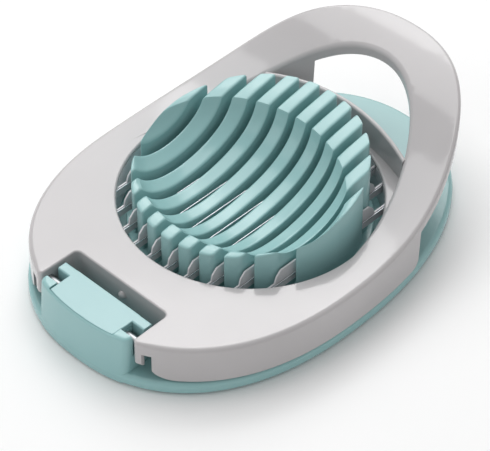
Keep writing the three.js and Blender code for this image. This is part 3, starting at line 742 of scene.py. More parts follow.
def add_node(tree, kind, settings=None, inputs=None):
    """Adds a node. Inputs are given by name or number, as a value or as another node's socket."""
    node = tree.nodes.new(kind)
    for name, value in (settings or {}).items():
        setattr(node, name, value)
    for name, value in (inputs or {}).items():
        socket = node.inputs[name]
        if isinstance(value, bpy.types.NodeSocket):
            tree.links.new(value, socket)
        else:
            socket.default_value = value
    return node


def new_tree(name, sizes):
    """An empty Geometry Nodes tree with a named input for each size."""
    tree = bpy.data.node_groups.new(name, "GeometryNodeTree")
    for size in sizes:
        tree.interface.new_socket(name=size, in_out="INPUT", socket_type="NodeSocketFloat")
    tree.interface.new_socket(name="Geometry", in_out="OUTPUT", socket_type="NodeSocketGeometry")
    return tree, add_node(tree, "NodeGroupInput").outputs


def formula(tree, steps):
    """Adds a formula's nodes and returns its result. It is written as (operation, value, value),
    and so is each value that has to be worked out first."""
    if not isinstance(steps, tuple):
        return steps
    values = dict(enumerate(formula(tree, step) for step in steps[1:]))
    return add_node(tree, "ShaderNodeMath", {"operation": steps[0]}, values).outputs[0]


def numbered_boxes(tree, columns, rows, count):
    """Box grids from -1 to 1 along each axis, count of them at one place. Returns them, each
    point's place in its own box, and its box's number."""
    box = add_node(tree, "GeometryNodeMeshCube", None, {
        "Size": (2, 2, 2), "Vertices X": columns, "Vertices Y": rows, "Vertices Z": 2,
    })
    marks = add_node(tree, "GeometryNodeMeshLine", None, {"Count": count, "Offset": (0, 0, 0)})
    index = add_node(tree, "GeometryNodeInputIndex")
    each_point = {"data_type": "FLOAT", "domain": "POINT"}
    numbered = add_node(tree, "GeometryNodeStoreNamedAttribute", each_point, {
        "Geometry": marks.outputs[0], "Name": "number", "Value": index.outputs[0],
    })
    copies = add_node(tree, "GeometryNodeInstanceOnPoints", None, {
        "Points": numbered.outputs[0], "Instance": box.outputs[0],
    })
    real = add_node(tree, "GeometryNodeRealizeInstances", None, {"Geometry": copies.outputs[0]})
    position = add_node(tree, "GeometryNodeInputPosition")
    place = add_node(tree, "ShaderNodeSeparateXYZ", None, {"Vector": position.outputs[0]})
    number = add_node(tree, "GeometryNodeInputNamedAttribute", {"data_type": "FLOAT"}, {"Name": "number"})
    return real.outputs[0], place.outputs, number.outputs[0]


def end_tree(tree, geometry, material):
    """Gives a tree's geometry its material and sends it out."""
    coated = add_node(tree, "GeometryNodeSetMaterial", None, {"Geometry": geometry, "Material": material})
    add_node(tree, "NodeGroupOutput", None, {"Geometry": coated.outputs[0]})


def grown(name, tree, sizes, base=None):
    """Runs a Geometry Nodes tree with its sizes and keeps the result as a plain mesh."""
    piece = bpy.data.objects.new(name, base or bpy.data.meshes.new(name))
    bpy.context.scene.collection.objects.link(piece)
    step = piece.modifiers.new(name, "NODES")
    step.node_group = tree
    for socket in tree.interface.items_tree:
        if socket.in_out == "INPUT" and socket.name in sizes:
            step[socket.identifier] = float(sizes[socket.name])
    return evaluated(piece)


def slat_row(material):
    """The row of slats. Each starts as a box grid whose X runs over the first land, the scoop
    and the second land, and whose Y runs across the slat."""
    sizes = {
        "Pitch": SLAT_PITCH * MM, "Thickness": (SLAT_PITCH - SLAT_GAP) * MM,
        "Radius": CRADLE_RADIUS * MM, "Floor": (CRADLE_FLOOR - SLAT_SINK) * MM, "Scoop X": SCOOP_X * MM,
        "Rim Height": RIM_HEIGHT * MM, "Tilt": math.radians(CRADLE_TILT),
        "Half Length": SCOOP_HALF_LENGTH * MM, "Half Width": SCOOP_HALF_WIDTH * MM,
        "Depth": (SCOOP_DEPTH + SCOOP_RISE) * MM, "Rise": SCOOP_RISE * MM, "Power": SCOOP_POWER,
        "Edge Round": SLAT_ROUND * MM, "End Round": SLAT_END_ROUND * MM, "Rim Round": SCOOP_RIM_ROUND * MM,
    }
    tree, size = new_tree("slat_row", sizes)

    def rounding(distance, radius):
        """How far a quarter-round edge falls off at a distance from the wall."""
        left = formula(tree, ("MAXIMUM", ("SUBTRACT", radius, distance), 0.0))
        inner = formula(tree, ("SUBTRACT", ("POWER", radius, 2.0), ("POWER", left, 2.0)))
        return formula(tree, ("SUBTRACT", radius, ("SQRT", ("MAXIMUM", inner, 0.0))))

    boxes, place, slat = numbered_boxes(tree, 53, 13, SLAT_COUNT)
    middle = formula(tree, ("MULTIPLY", ("SUBTRACT", slat, (SLAT_COUNT - 1) / 2), size["Pitch"]))
    half = formula(tree, ("MULTIPLY", size["Thickness"], 0.5))
    limit = formula(tree, ("MULTIPLY", size["Radius"], SLAT_SIDE_LIMIT))
    lowest = formula(tree, ("MAXIMUM", ("SUBTRACT", middle, half), ("MULTIPLY", limit, -1.0)))
    highest = formula(tree, ("MINIMUM", ("ADD", middle, half), limit))
    share_y = formula(tree, ("MULTIPLY_ADD", ("SINE", ("MULTIPLY", place["Y"], math.pi / 2)), 0.5, 0.5))
    y = formula(tree, ("MULTIPLY_ADD", share_y, ("SUBTRACT", highest, lowest), lowest))
    wall_gap = formula(tree, ("MINIMUM", ("SUBTRACT", y, lowest), ("SUBTRACT", highest, y)))
    chord = formula(tree, ("SQRT", ("SUBTRACT", ("POWER", size["Radius"], 2.0), ("POWER", y, 2.0))))
    end_round = formula(tree, ("MINIMUM", ("MULTIPLY", chord, 0.5), size["End Round"]))
    chord = formula(tree, ("SUBTRACT", chord, rounding(wall_gap, end_round)))
    across = formula(tree, ("DIVIDE", y, size["Half Width"]))
    open_share = formula(tree, ("MAXIMUM", ("SUBTRACT", 1.0, ("POWER", across, 2.0)), 0.0))
    rim = formula(tree, ("MULTIPLY", size["Half Length"], ("SQRT", open_share)))
    cos_tilt, sin_tilt = formula(tree, ("COSINE", size["Tilt"])), formula(tree, ("SINE", size["Tilt"]))
    near = formula(tree, ("DIVIDE", ("SUBTRACT", ("MULTIPLY", chord, -1.0), size["Scoop X"]), cos_tilt))
    far = formula(tree, ("DIVIDE", ("SUBTRACT", chord, size["Scoop X"]), cos_tilt))
    width = formula(tree, ("SUBTRACT", far, near))
    rim_near = formula(tree, (
        "MAXIMUM", ("MULTIPLY", rim, -1.0), ("MULTIPLY_ADD", width, LEAST_LAND, near),
    ))
    rim_near = formula(tree, ("MINIMUM", rim_near, ("MULTIPLY_ADD", width, MOST_LAND, near)))
    rim_far = formula(tree, ("MINIMUM", rim, ("MULTIPLY_ADD", width, -LEAST_LAND, far)))
    rim_far = formula(tree, ("MAXIMUM", rim_far, ("MULTIPLY_ADD", width, -MOST_LAND, far)))
    early = formula(tree, ("DIVIDE", ("ADD", place["X"], 1.0), LAND_SHARE))
    middle_share = formula(tree, ("DIVIDE", ("ADD", place["X"], 1.0 - LAND_SHARE), 2 * (1 - LAND_SHARE)))
    late = formula(tree, ("DIVIDE", ("SUBTRACT", place["X"], 1.0 - LAND_SHARE), LAND_SHARE))
    shares = [
        add_node(tree, "ShaderNodeClamp", None, {"Value": share}).outputs[0]
        for share in (early, middle_share, late)
    ]
    eased = formula(tree, ("MULTIPLY_ADD", ("COSINE", ("MULTIPLY", shares[1], math.pi)), -0.5, 0.5))
    first_land = formula(tree, ("POWER", shares[0], 2.0))
    last_land = formula(tree, ("SUBTRACT", 1.0, ("POWER", ("SUBTRACT", 1.0, shares[2]), 2.0)))
    along = formula(tree, ("MULTIPLY_ADD", first_land, ("SUBTRACT", rim_near, near), near))
    along = formula(tree, ("MULTIPLY_ADD", eased, ("SUBTRACT", rim_far, rim_near), along))
    along = formula(tree, ("MULTIPLY_ADD", last_land, ("SUBTRACT", far, rim_far), along))
    round_y = formula(tree, ("MULTIPLY", across, size["Half Length"]))
    reach = formula(tree, ("SQRT", ("ADD", ("POWER", along, 2.0), ("POWER", round_y, 2.0))))
    rise_share = formula(tree, ("POWER", ("DIVIDE", size["Rise"], size["Depth"]), size["Power"]))
    widest_share = formula(tree, ("POWER", ("SUBTRACT", 1.0, rise_share), ("DIVIDE", 1.0, size["Power"])))
    widest = formula(tree, ("DIVIDE", size["Half Length"], widest_share))
    bowl = formula(tree, ("SUBTRACT", 1.0, ("POWER", ("DIVIDE", reach, widest), size["Power"])))
    bowl = formula(tree, ("POWER", ("MAXIMUM", bowl, 0.0), ("DIVIDE", 1.0, size["Power"])))
    drop = formula(tree, ("SUBTRACT", ("MULTIPLY", bowl, size["Depth"]), size["Rise"]))
    soft_square = formula(tree, ("ADD", ("POWER", drop, 2.0), ("POWER", size["Rim Round"], 2.0)))
    soft_drop = formula(tree, ("MULTIPLY", ("ADD", drop, ("SQRT", soft_square)), 0.5))
    level = formula(tree, ("MULTIPLY", soft_drop, -1.0))
    x = formula(tree, ("MULTIPLY_ADD", along, cos_tilt, size["Scoop X"]))
    x = formula(tree, ("SUBTRACT", x, ("MULTIPLY", level, sin_tilt)))
    end_gap = formula(tree, ("SUBTRACT", chord, ("ABSOLUTE", x)))
    x = formula(tree, ("MAXIMUM", ("MINIMUM", x, chord), ("MULTIPLY", chord, -1.0)))
    top = formula(tree, ("MULTIPLY_ADD", along, sin_tilt, size["Rim Height"]))
    top = formula(tree, ("MULTIPLY_ADD", level, cos_tilt, top))
    top = formula(tree, ("SUBTRACT", top, rounding(wall_gap, size["Edge Round"])))
    top = formula(tree, ("SUBTRACT", top, rounding(("MAXIMUM", end_gap, 0.0), size["Edge Round"])))
    is_top = formula(tree, ("GREATER_THAN", place["Z"], 0.0))
    z = formula(tree, ("MULTIPLY_ADD", is_top, ("SUBTRACT", top, size["Floor"]), size["Floor"]))
    place = add_node(tree, "ShaderNodeCombineXYZ", None, {"X": x, "Y": y, "Z": z}).outputs[0]
    moved = add_node(tree, "GeometryNodeSetPosition", None, {"Geometry": boxes, "Position": place})
    merged = add_node(tree, "GeometryNodeMergeByDistance", None, {
        "Geometry": moved.outputs[0], "Distance": SLAT_MERGE,
    })
    end_tree(tree, merged.outputs[0], material)
    return grown("slats", tree, sizes)


def egg_cradle(material):
    """Slats on a disc, with a plug below that sits in the base's opening."""
    cradle = slat_row(material)
    disc_radius, plug_radius = CRADLE_HIGH.x, PLUG_OPENING - PLAY
    round_ = DISC_ROUND
    edge = [
        (disc_radius - round_ + round_ * math.cos(turn), CRADLE_FLOOR - round_ + round_ * math.sin(turn))
        for turn in [math.pi / 2 * k / 5 for k in range(6)]
    ]
    profile = [(0, CRADLE_LOW.z), (plug_radius, CRADLE_LOW.z), (plug_radius, DISC_BOTTOM)]
    profile += [(disc_radius, DISC_BOTTOM), *edge, (0, CRADLE_FLOOR)]
    return combined(cradle, lathe("disc", profile, 180), "UNION")


def comb_teeth(material):
    """The comb's blades, one beside each wire. A blade starts as a box grid whose X columns are
    its tip, the chamfer's start and end, the shoulder's foot and its root."""
    sizes = {
        "Pitch": SLAT_PITCH * MM, "Thickness": TOOTH_THICKNESS * MM, "Offset": TOOTH_OFFSET * MM,
        "Tip Radius": CRADLE_RADIUS * MM, "Tip Reach": TOOTH_REACH * MM, "Chamfer": TOOTH_CHAMFER * MM,
        "Shoulder Radius": TOOTH_SHOULDER_RADIUS * MM, "Root Radius": TOOTH_ROOT_RADIUS * MM,
        "Top": TOOTH_TOP * MM, "Root Top": TOOTH_ROOT_TOP * MM, "Bottom": COMB_BOTTOM * MM,
    }
    tree, size = new_tree("comb_teeth", sizes)

    def chord(radius, across):
        return formula(tree, ("SQRT", ("SUBTRACT", ("POWER", radius, 2.0), ("POWER", across, 2.0))))

    def stage(column, start, amount):
        share = formula(tree, ("MULTIPLY", ("SUBTRACT", column, start), 2.0))
        clamped = add_node(tree, "ShaderNodeClamp", None, {"Value": share}).outputs[0]
        return formula(tree, ("MULTIPLY", clamped, amount))

    boxes, place, blade = numbered_boxes(tree, 5, 2, SLAT_COUNT - 1)
    column = place["X"]
    middle = formula(tree, ("MULTIPLY", ("SUBTRACT", blade, (SLAT_COUNT - 2) / 2), size["Pitch"]))
    side = formula(tree, ("MULTIPLY", ("MULTIPLY_ADD", place["Y"], 0.5, 0.5), size["Thickness"]))
    y = formula(tree, ("ADD", ("ADD", middle, size["Offset"]), side))
    tip = formula(tree, ("SUBTRACT", chord(size["Tip Radius"], middle), size["Tip Reach"]))
    shoulder, root = chord(size["Shoulder Radius"], middle), chord(size["Root Radius"], middle)
    neck = formula(tree, ("SUBTRACT", ("SUBTRACT", shoulder, tip), size["Chamfer"]))
    tail = formula(tree, ("SUBTRACT", root, shoulder))
    x = formula(tree, ("ADD", tip, stage(column, -1.0, neck)))
    x = formula(tree, ("ADD", x, stage(column, -0.5, size["Chamfer"])))
    x = formula(tree, ("ADD", x, stage(column, 0.0, ("MULTIPLY", tail, 0.1))))
    x = formula(tree, ("ADD", x, stage(column, 0.5, ("MULTIPLY", tail, 0.9))))
    drop = formula(tree, ("SUBTRACT", ("SUBTRACT", size["Top"], size["Root Top"]), size["Chamfer"]))
    top = formula(tree, ("SUBTRACT", size["Top"], stage(column, -0.5, size["Chamfer"])))
    top = formula(tree, ("SUBTRACT", top, stage(column, 0.0, drop)))
    is_top = formula(tree, ("GREATER_THAN", place["Z"], 0.0))
    z = formula(tree, ("MULTIPLY_ADD", is_top, ("SUBTRACT", top, size["Bottom"]), size["Bottom"]))
    place = add_node(tree, "ShaderNodeCombineXYZ", None, {"X": x, "Y": y, "Z": z}).outputs[0]
    moved = add_node(tree, "GeometryNodeSetPosition", None, {"Geometry": boxes, "Position": place})
    end_tree(tree, moved.outputs[0], material)
    return grown("teeth", tree, sizes)


def wire_comb(material, end):
    """An arc strip with the blades of one end of the wires and a notch for each wire."""
    low, high = box_mm("wire_comb_handle")
    verts, faces = [], []
    inner, outer = HOLE_RADIUS, CARRIER_RADIUS
    steps = 48
    for step in range(steps + 1):
        y = low.y + (high.y - low.y) * step / steps
        for radius in (inner, outer):
            x = math.sqrt(radius * radius - y * y)
            verts += [(x, y, COMB_BOTTOM), (x, y, COMB_TOP)]
    for step in range(steps):
        a, b = 4 * step, 4 * step + 4
        faces += [(a, a + 1, b + 1, b), (a + 2, b + 2, b + 3, a + 3)]
        faces += [(a, b, b + 2, a + 2), (a + 1, a + 3, b + 3, b + 1)]
    faces += [(0, 2, 3, 1), (4 * steps, 4 * steps + 1, 4 * steps + 3, 4 * steps + 2)]
    comb = mesh_piece("comb", verts, faces)
    for index in range(SLAT_COUNT - 1):
        y = (index - (SLAT_COUNT - 2) / 2) * SLAT_PITCH + WIRE_OFFSET
        half = WIRE_NOTCH / 2
        notch = block("notch", (0, y - half, WIRE_Z - half), (TOOL_END, y + half, TOOL_TOP))
        combined(comb, notch, "DIFFERENCE")
    combined(comb, comb_teeth(material), "UNION")
    if end < 0:
        mirrored = [(-v.co.x / MM, v.co.y / MM, v.co.z / MM) for v in comb.data.vertices]
        polygons = [tuple(reversed(face.vertices)) for face in comb.data.polygons]
        bpy.data.objects.remove(comb)
        comb = mesh_piece("comb", mirrored, polygons)
    return comb


def wire_carrier():
    ring = drum("ring", CARRIER_RADIUS, CARRIER_LOW.z, COMB_TOP, count=180)
    seat = box_mm("wire_comb_handle")[1].y + PLAY
    room = block("seat", (-TOOL_END, -seat, COMB_BOTTOM - PLAY), (TOOL_END, seat, TOOL_TOP))
    combined(ring, room, "DIFFERENCE")
    for place in screw_places():
        out = Vector((place.x, place.y)).normalized()
        across = Vector((-out.y, out.x)) * LUG_RADIUS
        root = out * (HOLE_RADIUS + CARRIER_RADIUS) / 2
        tip = Vector((place.x, place.y))
        section = [root - across, tip - across]
        first = math.atan2(-across.y, -across.x)
        for k in range(1, 24):
            turn = first + math.pi * k / 24
            section.append(tip + Vector((math.cos(turn), math.sin(turn))) * LUG_RADIUS)
        section += [tip + across, root + across]
        low, high = LUG_TOP - LUG_THICKNESS, LUG_TOP
        count = len(section)
        verts = [(p.x, p.y, z) for z in (low, high) for p in section]
        faces = [(i, (i + 1) % count, count + (i + 1) % count, count + i) for i in range(count)]
        faces += [tuple(reversed(range(count))), tuple(range(count, 2 * count))]
        combined(ring, mesh_piece("lug", verts, faces), "UNION")
        bore = drum("bore", SCREW_RADIUS + PLAY, 0, LUG_TOP + OVERLAP, tip.x, tip.y, 32)
        combined(ring, bore, "DIFFERENCE")
    return combined(ring, drum("hole", HOLE_RADIUS, 0, TOOL_TOP, count=180), "DIFFERENCE")


def cutting_wires(material):
    """Ten taut wires, each as long as the carrier is wide where it lies."""
    sizes = {"Pitch": SLAT_PITCH * MM, "Offset": WIRE_OFFSET * MM, "Height": WIRE_Z * MM,
             "Radius": WIRE_RADIUS * MM, "Reach": WIRE_REACH_RADIUS * MM}
    tree, size = new_tree("cutting_wires", sizes)
    rod = add_node(tree, "GeometryNodeMeshCylinder", None, {
        "Vertices": 12, "Radius": size["Radius"], "Depth": 2.0, "Side Segments": 1,
    })
    turned = add_node(tree, "GeometryNodeTransform", None, {
        "Geometry": rod.outputs[0], "Rotation": (0.0, math.pi / 2, 0.0),
    })
    marks = add_node(tree, "GeometryNodeMeshLine", None, {"Count": SLAT_COUNT - 1, "Offset": (0, 0, 0)})
    number = add_node(tree, "GeometryNodeInputIndex").outputs[0]
    middle = formula(tree, ("MULTIPLY", ("SUBTRACT", number, (SLAT_COUNT - 2) / 2), size["Pitch"]))
    y = formula(tree, ("ADD", middle, size["Offset"]))
    reach = formula(tree, ("SQRT", ("SUBTRACT", ("POWER", size["Reach"], 2.0), ("POWER", y, 2.0))))
    place = add_node(tree, "ShaderNodeCombineXYZ", None, {"Y": y, "Z": size["Height"]}).outputs[0]
    placed = add_node(tree, "GeometryNodeSetPosition", None, {
        "Geometry": marks.outputs[0], "Position": place,
    })
    kept = add_node(tree, "GeometryNodeStoreNamedAttribute", {"data_type": "FLOAT", "domain": "POINT"}, {
        "Geometry": placed.outputs[0], "Name": "reach", "Value": reach,
    })
    length = add_node(tree, "GeometryNodeInputNamedAttribute", {"data_type": "FLOAT"}, {"Name": "reach"})
    scale = add_node(tree, "ShaderNodeCombineXYZ", None, {"X": length.outputs[0], "Y": 1.0, "Z": 1.0})
    copies = add_node(tree, "GeometryNodeInstanceOnPoints", None, {
        "Points": kept.outputs[0], "Instance": turned.outputs[0], "Scale": scale.outputs[0],
    })
    real = add_node(tree, "GeometryNodeRealizeInstances", None, {"Geometry": copies.outputs[0]})
    end_tree(tree, real.outputs[0], material)
    return grown("cutting_wires", tree, sizes)


def placed_copies(name, template, places, material):
    """Copies of a template at a list of places, made into one mesh."""
    tree = new_tree(name, {})[0]
    tree.interface.new_socket(name="Places", in_out="INPUT", socket_type="NodeSocketGeometry")
    points = next(n for n in tree.nodes if n.bl_idname == "NodeGroupInput").outputs["Places"]
    model = add_node(tree, "GeometryNodeObjectInfo", None, {"Object": template})
    copies = add_node(tree, "GeometryNodeInstanceOnPoints", None, {
        "Points": points, "Instance": model.outputs["Geometry"],
    })
    real = add_node(tree, "GeometryNodeRealizeInstances", None, {"Geometry": copies.outputs[0]})
    end_tree(tree, real.outputs[0], material)
    marks = bpy.data.meshes.new(name)
    marks.from_pydata([Vector(p) * MM for p in places], [], [])
    group = grown(name, tree, {}, marks)
    bpy.data.objects.remove(template)
    return group


def carrier_screws(material):
    """Cross-recessed screws, heads down."""
    low, high = box_mm("carrier_screw_1")
    height, seat = high.z - low.z, SCREW_HEAD_HEIGHT
    dome = [
        (SCREW_HEAD_RADIUS * math.sin(turn), seat - SCREW_HEAD_HEIGHT * math.cos(turn))
        for turn in [math.pi / 2 * k / 8 for k in range(9)]
    ]
    profile = dome + [(SCREW_RADIUS, seat), (SCREW_RADIUS, height - SCREW_RADIUS), (0, height)]
    screw = lathe("screw", profile, 32)
    arm, width, depth = SCREW_RECESS / 2, SCREW_RECESS_WIDTH / 2, SCREW_RECESS_DEPTH
    combined(screw, block("slot", (-arm, -width, -OVERLAP), (arm, width, depth)), "DIFFERENCE")
    combined(screw, block("slot", (-width, -arm, -OVERLAP), (width, arm, depth)), "DIFFERENCE")
    places = [(p.x, p.y, low.z) for p in screw_places()]
    return placed_copies("carrier_screws", screw, places, material)


def rubber_feet(material):
    low, high = box_mm("foot_1")
    radius, height, edge = (high.x - low.x) / 2, high.z - low.z, FOOT_ROUND
    lower = [
        (radius - edge + edge * math.sin(turn), edge - edge * math.cos(turn))
        for turn in [math.pi / 2 * k / 5 for k in range(6)]
    ]
    foot = lathe("foot", [(0, 0), *lower, (radius, height), (0, height)], 64)
    places = []
    for name in FEET:
        low, high = box_mm(name)
        places.append(((low.x + high.x) / 2, (low.y + high.y) / 2, low.z))
    return placed_copies("rubber_feet", foot, places, material)


def hinge_pin(name):
    """A turned pin along Y with chamfered ends."""
    low, high = box_mm(name)
    middle, radius = (low + high) / 2, (high.x - low.x) / 2
    length = high.y - low.y
    profile = [(0, 0), (radius - PIN_CHAMFER, 0), (radius, PIN_CHAMFER)]
    profile += [(radius, length - PIN_CHAMFER), (radius - PIN_CHAMFER, length), (0, length)]
    pin = lathe(name, profile, 48)
    pin.data.transform(Matrix.Rotation(math.radians(-90), 4, "X"))
    pin.data.transform(Matrix.Translation(Vector((middle.x, low.y, middle.z)) * MM))
    return pin


# ---------------------------------------------------------------- finishes

NOISE_LOW = 0.3  # nearly all of a noise's values lie between these two
NOISE_HIGH = 0.7


def linear(code):
    """An sRGB hex colour as linear RGBA."""
    parts = [int(code[i:i + 2], 16) / 255 for i in (1, 3, 5)]
    return (*[c / 12.92 if c <= 0.04045 else ((c + 0.055) / 1.055) ** 2.4 for c in parts], 1.0)


def new_finish(name, colour, roughness, ior=1.5, metallic=0.0):
    """A material with its shader, its node tree and millimetre-true Object coordinates."""
    material = bpy.data.materials.new(name)
    material.use_nodes = True
    tree = material.node_tree
    shader = next(n for n in tree.nodes if n.bl_idname == "ShaderNodeBsdfPrincipled")
    shader.inputs["Base Color"].default_value = linear(colour)
    shader.inputs["Roughness"].default_value = roughness
    shader.inputs["IOR"].default_value = ior
    shader.inputs["Metallic"].default_value = metallic
    place = add_node(tree, "ShaderNodeTexCoord").outputs["Object"]
    return material, tree, shader, place


def grained(tree, shader, place, grain_mm, detail, rough=None, skin=0.0, strength=0.5):
    """Noise with grains of a real size: it varies the roughness between the two values of rough
    and lifts the skin by so many metres. Object coordinates are in metres."""
    grain = add_node(tree, "ShaderNodeTexNoise", None, {
        "Vector": place, "Scale": 1 / (grain_mm * MM), "Detail": detail,
    }).outputs[0]
    if rough:
        spread = add_node(tree, "ShaderNodeMapRange", None, {
            "Value": grain, "From Min": NOISE_LOW, "From Max": NOISE_HIGH,
            "To Min": rough[0], "To Max": rough[1],
        })
        tree.links.new(spread.outputs[0], shader.inputs["Roughness"])
    if skin:
        bump = add_node(tree, "ShaderNodeBump", None, {
            "Height": grain, "Distance": skin, "Strength": strength,
        })
        tree.links.new(bump.outputs[0], shader.inputs["Normal"])


def moulded_abs(name, colour, deep, roughness, flow_mm=26.0, skin=0.000003):
    """Injection-moulded ABS: an even colour that drifts a little where the melt flowed, a skin
    that mirrors softly, and a fine orange peel that breaks the reflections."""
    material, tree, shader, place = new_finish(name, colour, roughness, 1.53)
    flow = add_node(tree, "ShaderNodeTexNoise", None, {"Vector": place, "Scale": 1 / (flow_mm * MM)})
    drift = add_node(tree, "ShaderNodeMapRange", None, {
        "Value": flow.outputs[0], "From Min": NOISE_LOW, "From Max": NOISE_HIGH,
    })
    tint = add_node(tree, "ShaderNodeMix", {"data_type": "RGBA"}, {"Factor": drift.outputs[0]})
    colours = [socket for socket in tint.inputs if socket.type == "RGBA"]
    colours[0].default_value, colours[1].default_value = linear(colour), linear(deep)
    made = next(socket for socket in tint.outputs if socket.type == "RGBA")
    tree.links.new(made, shader.inputs["Base Color"])
    grained(tree, shader, place, 3.0, 2.0, (roughness * 0.94, roughness * 1.06))
    grained(tree, shader, place, 1.8, 0.0, None, skin, 0.6)
    return material


def drawn_wire():
    """Drawn stainless wire: bright, with fine lines along its length from the die."""
    material, tree, shader, place = new_finish("drawn_stainless_wire", "#C9CCD0", 0.22, 1.5, 1.0)
    drawn = add_node(tree, "ShaderNodeMapping", None, {"Vector": place, "Scale": (0.02, 1.0, 1.0)})
    grained(tree, shader, drawn.outputs[0], 0.06, 2.0, (0.16, 0.32), 0.000004)
    return material


def turned_steel():
    """Turned stainless steel of the pins and screws, with a fine grain from the lathe tool."""
    material, tree, shader, place = new_finish("turned_stainless_steel", "#A9ABAD", 0.38, 1.5, 1.0)
    grained(tree, shader, place, 0.25, 2.0, (0.32, 0.46), 0.000006)
    return material


def moulded_rubber():
    """Moulded rubber of the feet: dark, dull and faintly dusty."""
    material, tree, shader, place = new_finish("moulded_rubber", "#45494A", 0.75, 1.52)
    grained(tree, shader, place, 0.7, 4.0, (0.62, 0.88), 0.00003, 0.6)
    return material


def studio_paper():
    """Matt white paper sweep under the object."""
    material, tree, shader, place = new_finish("white_paper", "#FBFBFB", 0.9, 1.45)
    grained(tree, shader, place, 1.5, 3.0, (0.85, 0.95))
    return material


TEAL = moulded_abs("teal_moulded_abs", "#9BC5C5", "#95C0C1", 0.19)
# The lid is the same teal ABS as the base. Its slightly darker copy of the teal is painted shade on the
# lid.
TEAL_LID_PAINTED_SHADE = moulded_abs("teal_moulded_abs_lid_painted_shade", "#99C2C3", "#94BDBF", 0.2)
GREY = moulded_abs("grey_polished_abs", "#C0BDBE", "#BBB8B9", 0.11, skin=0.0000015)
PALE = moulded_abs("pale_moulded_abs", "#DCDCDE", "#D6D6D9", 0.3)
WIRE = drawn_wire()
STEEL = turned_steel()
RUBBER = moulded_rubber()

# ---------------------------------------------------------------- the slicer's pieces

LEFT_PIN, RIGHT_PIN = "hinge_pin_left", "hinge_pin_right"
wires = [f"wire_{number:02d}" for number in range(1, SLAT_COUNT)]
screws = [f"carrier_screw_{number}" for number in range(1, 5)]

PIECES = (
    # name, mesh, body, slot, material, replaced nodes, sharp angle, rounded edges
    ("frame_moulding", top_frame(), "frame", "grey_abs", GREY, ("top_frame",), 38, 0.0),
    ("base_moulding", base_tray(), "base", "teal_abs", TEAL, ("base_tray",), 32, 0.25),
    # the lid's darker copy of the teal is painted shade
    ("tower_lid", hinge_cover(), "base", "teal_abs_lid", TEAL_LID_PAINTED_SHADE, ("hinge_cover",), 32, 0.2),
    ("slatted_cradle", egg_cradle(TEAL), "base", "teal_abs", TEAL, ("egg_cradle",), 50, 0.0),
    ("carrier_ring", wire_carrier(), "frame", "pale_abs", PALE, ("wire_carrier",), 32, 0.15),
    ("comb_hinge_end", wire_comb(PALE, -1), "frame", "pale_abs", PALE, ("wire_comb_hinge",), 32, 0.05),
    ("comb_handle_end", wire_comb(PALE, 1), "frame", "pale_abs", PALE, ("wire_comb_handle",), 32, 0.05),
    ("cutting_wires", cutting_wires(WIRE), "frame", "wire_steel", WIRE, wires, 40, 0.0),
    ("carrier_screws", carrier_screws(STEEL), "frame", "steel", STEEL, screws, 32, 0.04),
    ("left_hinge_pin", hinge_pin(LEFT_PIN), "frame", "steel", STEEL, (LEFT_PIN,), 32, 0.0),
    ("right_hinge_pin", hinge_pin(RIGHT_PIN), "frame", "steel", STEEL, (RIGHT_PIN,), 32, 0.0),
    ("rubber_feet", rubber_feet(RUBBER), "base", "rubber", RUBBER, FEET, 40, 0.0),
)
for name, piece, body, slot, material, replaced, angle, edges in PIECES:
    piece.name = piece.data.name = name
    finished(piece, body, material, replaced, angle, edges)


# ---------------------------------------------------------------- stage, light and camera

CAMERA_AZIMUTH = math.radians(-45.4)
CAMERA_ELEVATION = math.radians(43.55)
CAMERA_DISTANCE = 0.74618
CAMERA_TARGET = Vector((0.00186, 0.00378, 0.0))
CAMERA_LENS = 207.0
SENSOR = 36.0


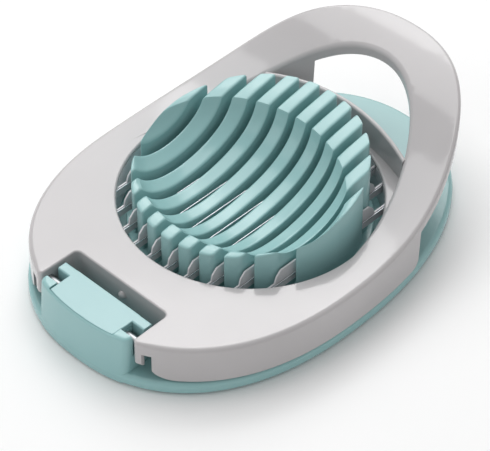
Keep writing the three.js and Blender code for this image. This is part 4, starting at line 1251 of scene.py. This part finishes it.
def studio_floor():
    """A floor that curves up into a backdrop, far larger than the object."""
    near, far, rise, radius, half_width = 2.6, 2.2, 2.6, 0.7, 3.2
    section = [(-near, 0.0)]
    for k in range(25):
        turn = math.pi / 2 * k / 24
        section.append((far - radius + radius * math.sin(turn), radius - radius * math.cos(turn)))
    section.append((far, rise))
    away = Vector((-math.sin(CAMERA_AZIMUTH), math.cos(CAMERA_AZIMUTH), 0))
    side = Vector((away.y, -away.x, 0))
    verts = [away * d + side * s + Vector((0, 0, z)) for s in (-half_width, half_width) for d, z in section]
    count = len(section)
    faces = [(i, count + i, count + i + 1, i + 1) for i in range(count - 1)]
    mesh = bpy.data.meshes.new("floor")
    mesh.from_pydata(verts, [], faces)
    mesh.polygons.foreach_set("use_smooth", [True] * len(mesh.polygons))
    mesh.materials.append(studio_paper())
    floor = bpy.data.objects.new("floor", mesh)
    bpy.context.scene.collection.objects.link(floor)


def soft_light(name, place, target, size, power, colour="#FFFFFF"):
    light = bpy.data.lights.new(name, "AREA")
    light.shape, light.size, light.size_y = "RECTANGLE", size[0], size[1]
    light.energy, light.color = power, linear(colour)[:3]
    lamp = bpy.data.objects.new(name, light)
    lamp.location = place
    lamp.rotation_euler = (Vector(target) - Vector(place)).to_track_quat("-Z", "Y").to_euler()
    bpy.context.scene.collection.objects.link(lamp)


def viewpoint(azimuth, elevation, distance):
    level = Vector((math.sin(azimuth), -math.cos(azimuth), 0)) * math.cos(elevation)
    return CAMERA_TARGET + (level + Vector((0, 0, math.sin(elevation)))) * distance


def camera():
    lens = bpy.data.cameras.new("camera")
    lens.lens, lens.sensor_width = CAMERA_LENS, SENSOR
    eye = bpy.data.objects.new("camera", lens)
    eye.location = viewpoint(CAMERA_AZIMUTH, CAMERA_ELEVATION, CAMERA_DISTANCE)
    eye.rotation_euler = (CAMERA_TARGET - eye.location).to_track_quat("-Z", "Y").to_euler()
    bpy.context.scene.collection.objects.link(eye)
    bpy.context.scene.camera = eye


camera()
studio_floor()
around = CAMERA_AZIMUTH
soft_light("mirror", viewpoint(around + math.pi, CAMERA_ELEVATION, 1.4), CAMERA_TARGET, (0.8, 0.7), 5.2)
soft_light("top", viewpoint(around + math.radians(-160), math.radians(68), 1.2), (0, 0, 0), (0.9, 0.9), 5.8)
soft_light("left", viewpoint(around - math.radians(75), math.radians(32), 1.2), (0, 0, 0), (0.9, 0.7), 1.7)
world = bpy.data.worlds.new("studio")
bpy.context.scene.world = world
world.use_nodes = True
sky = next(n for n in world.node_tree.nodes if n.bl_idname == "ShaderNodeBackground")
sky.inputs["Color"].default_value = linear("#FFFFFF")
sky.inputs["Strength"].default_value = 0.5
bpy.context.scene.view_settings.view_transform = "Standard"
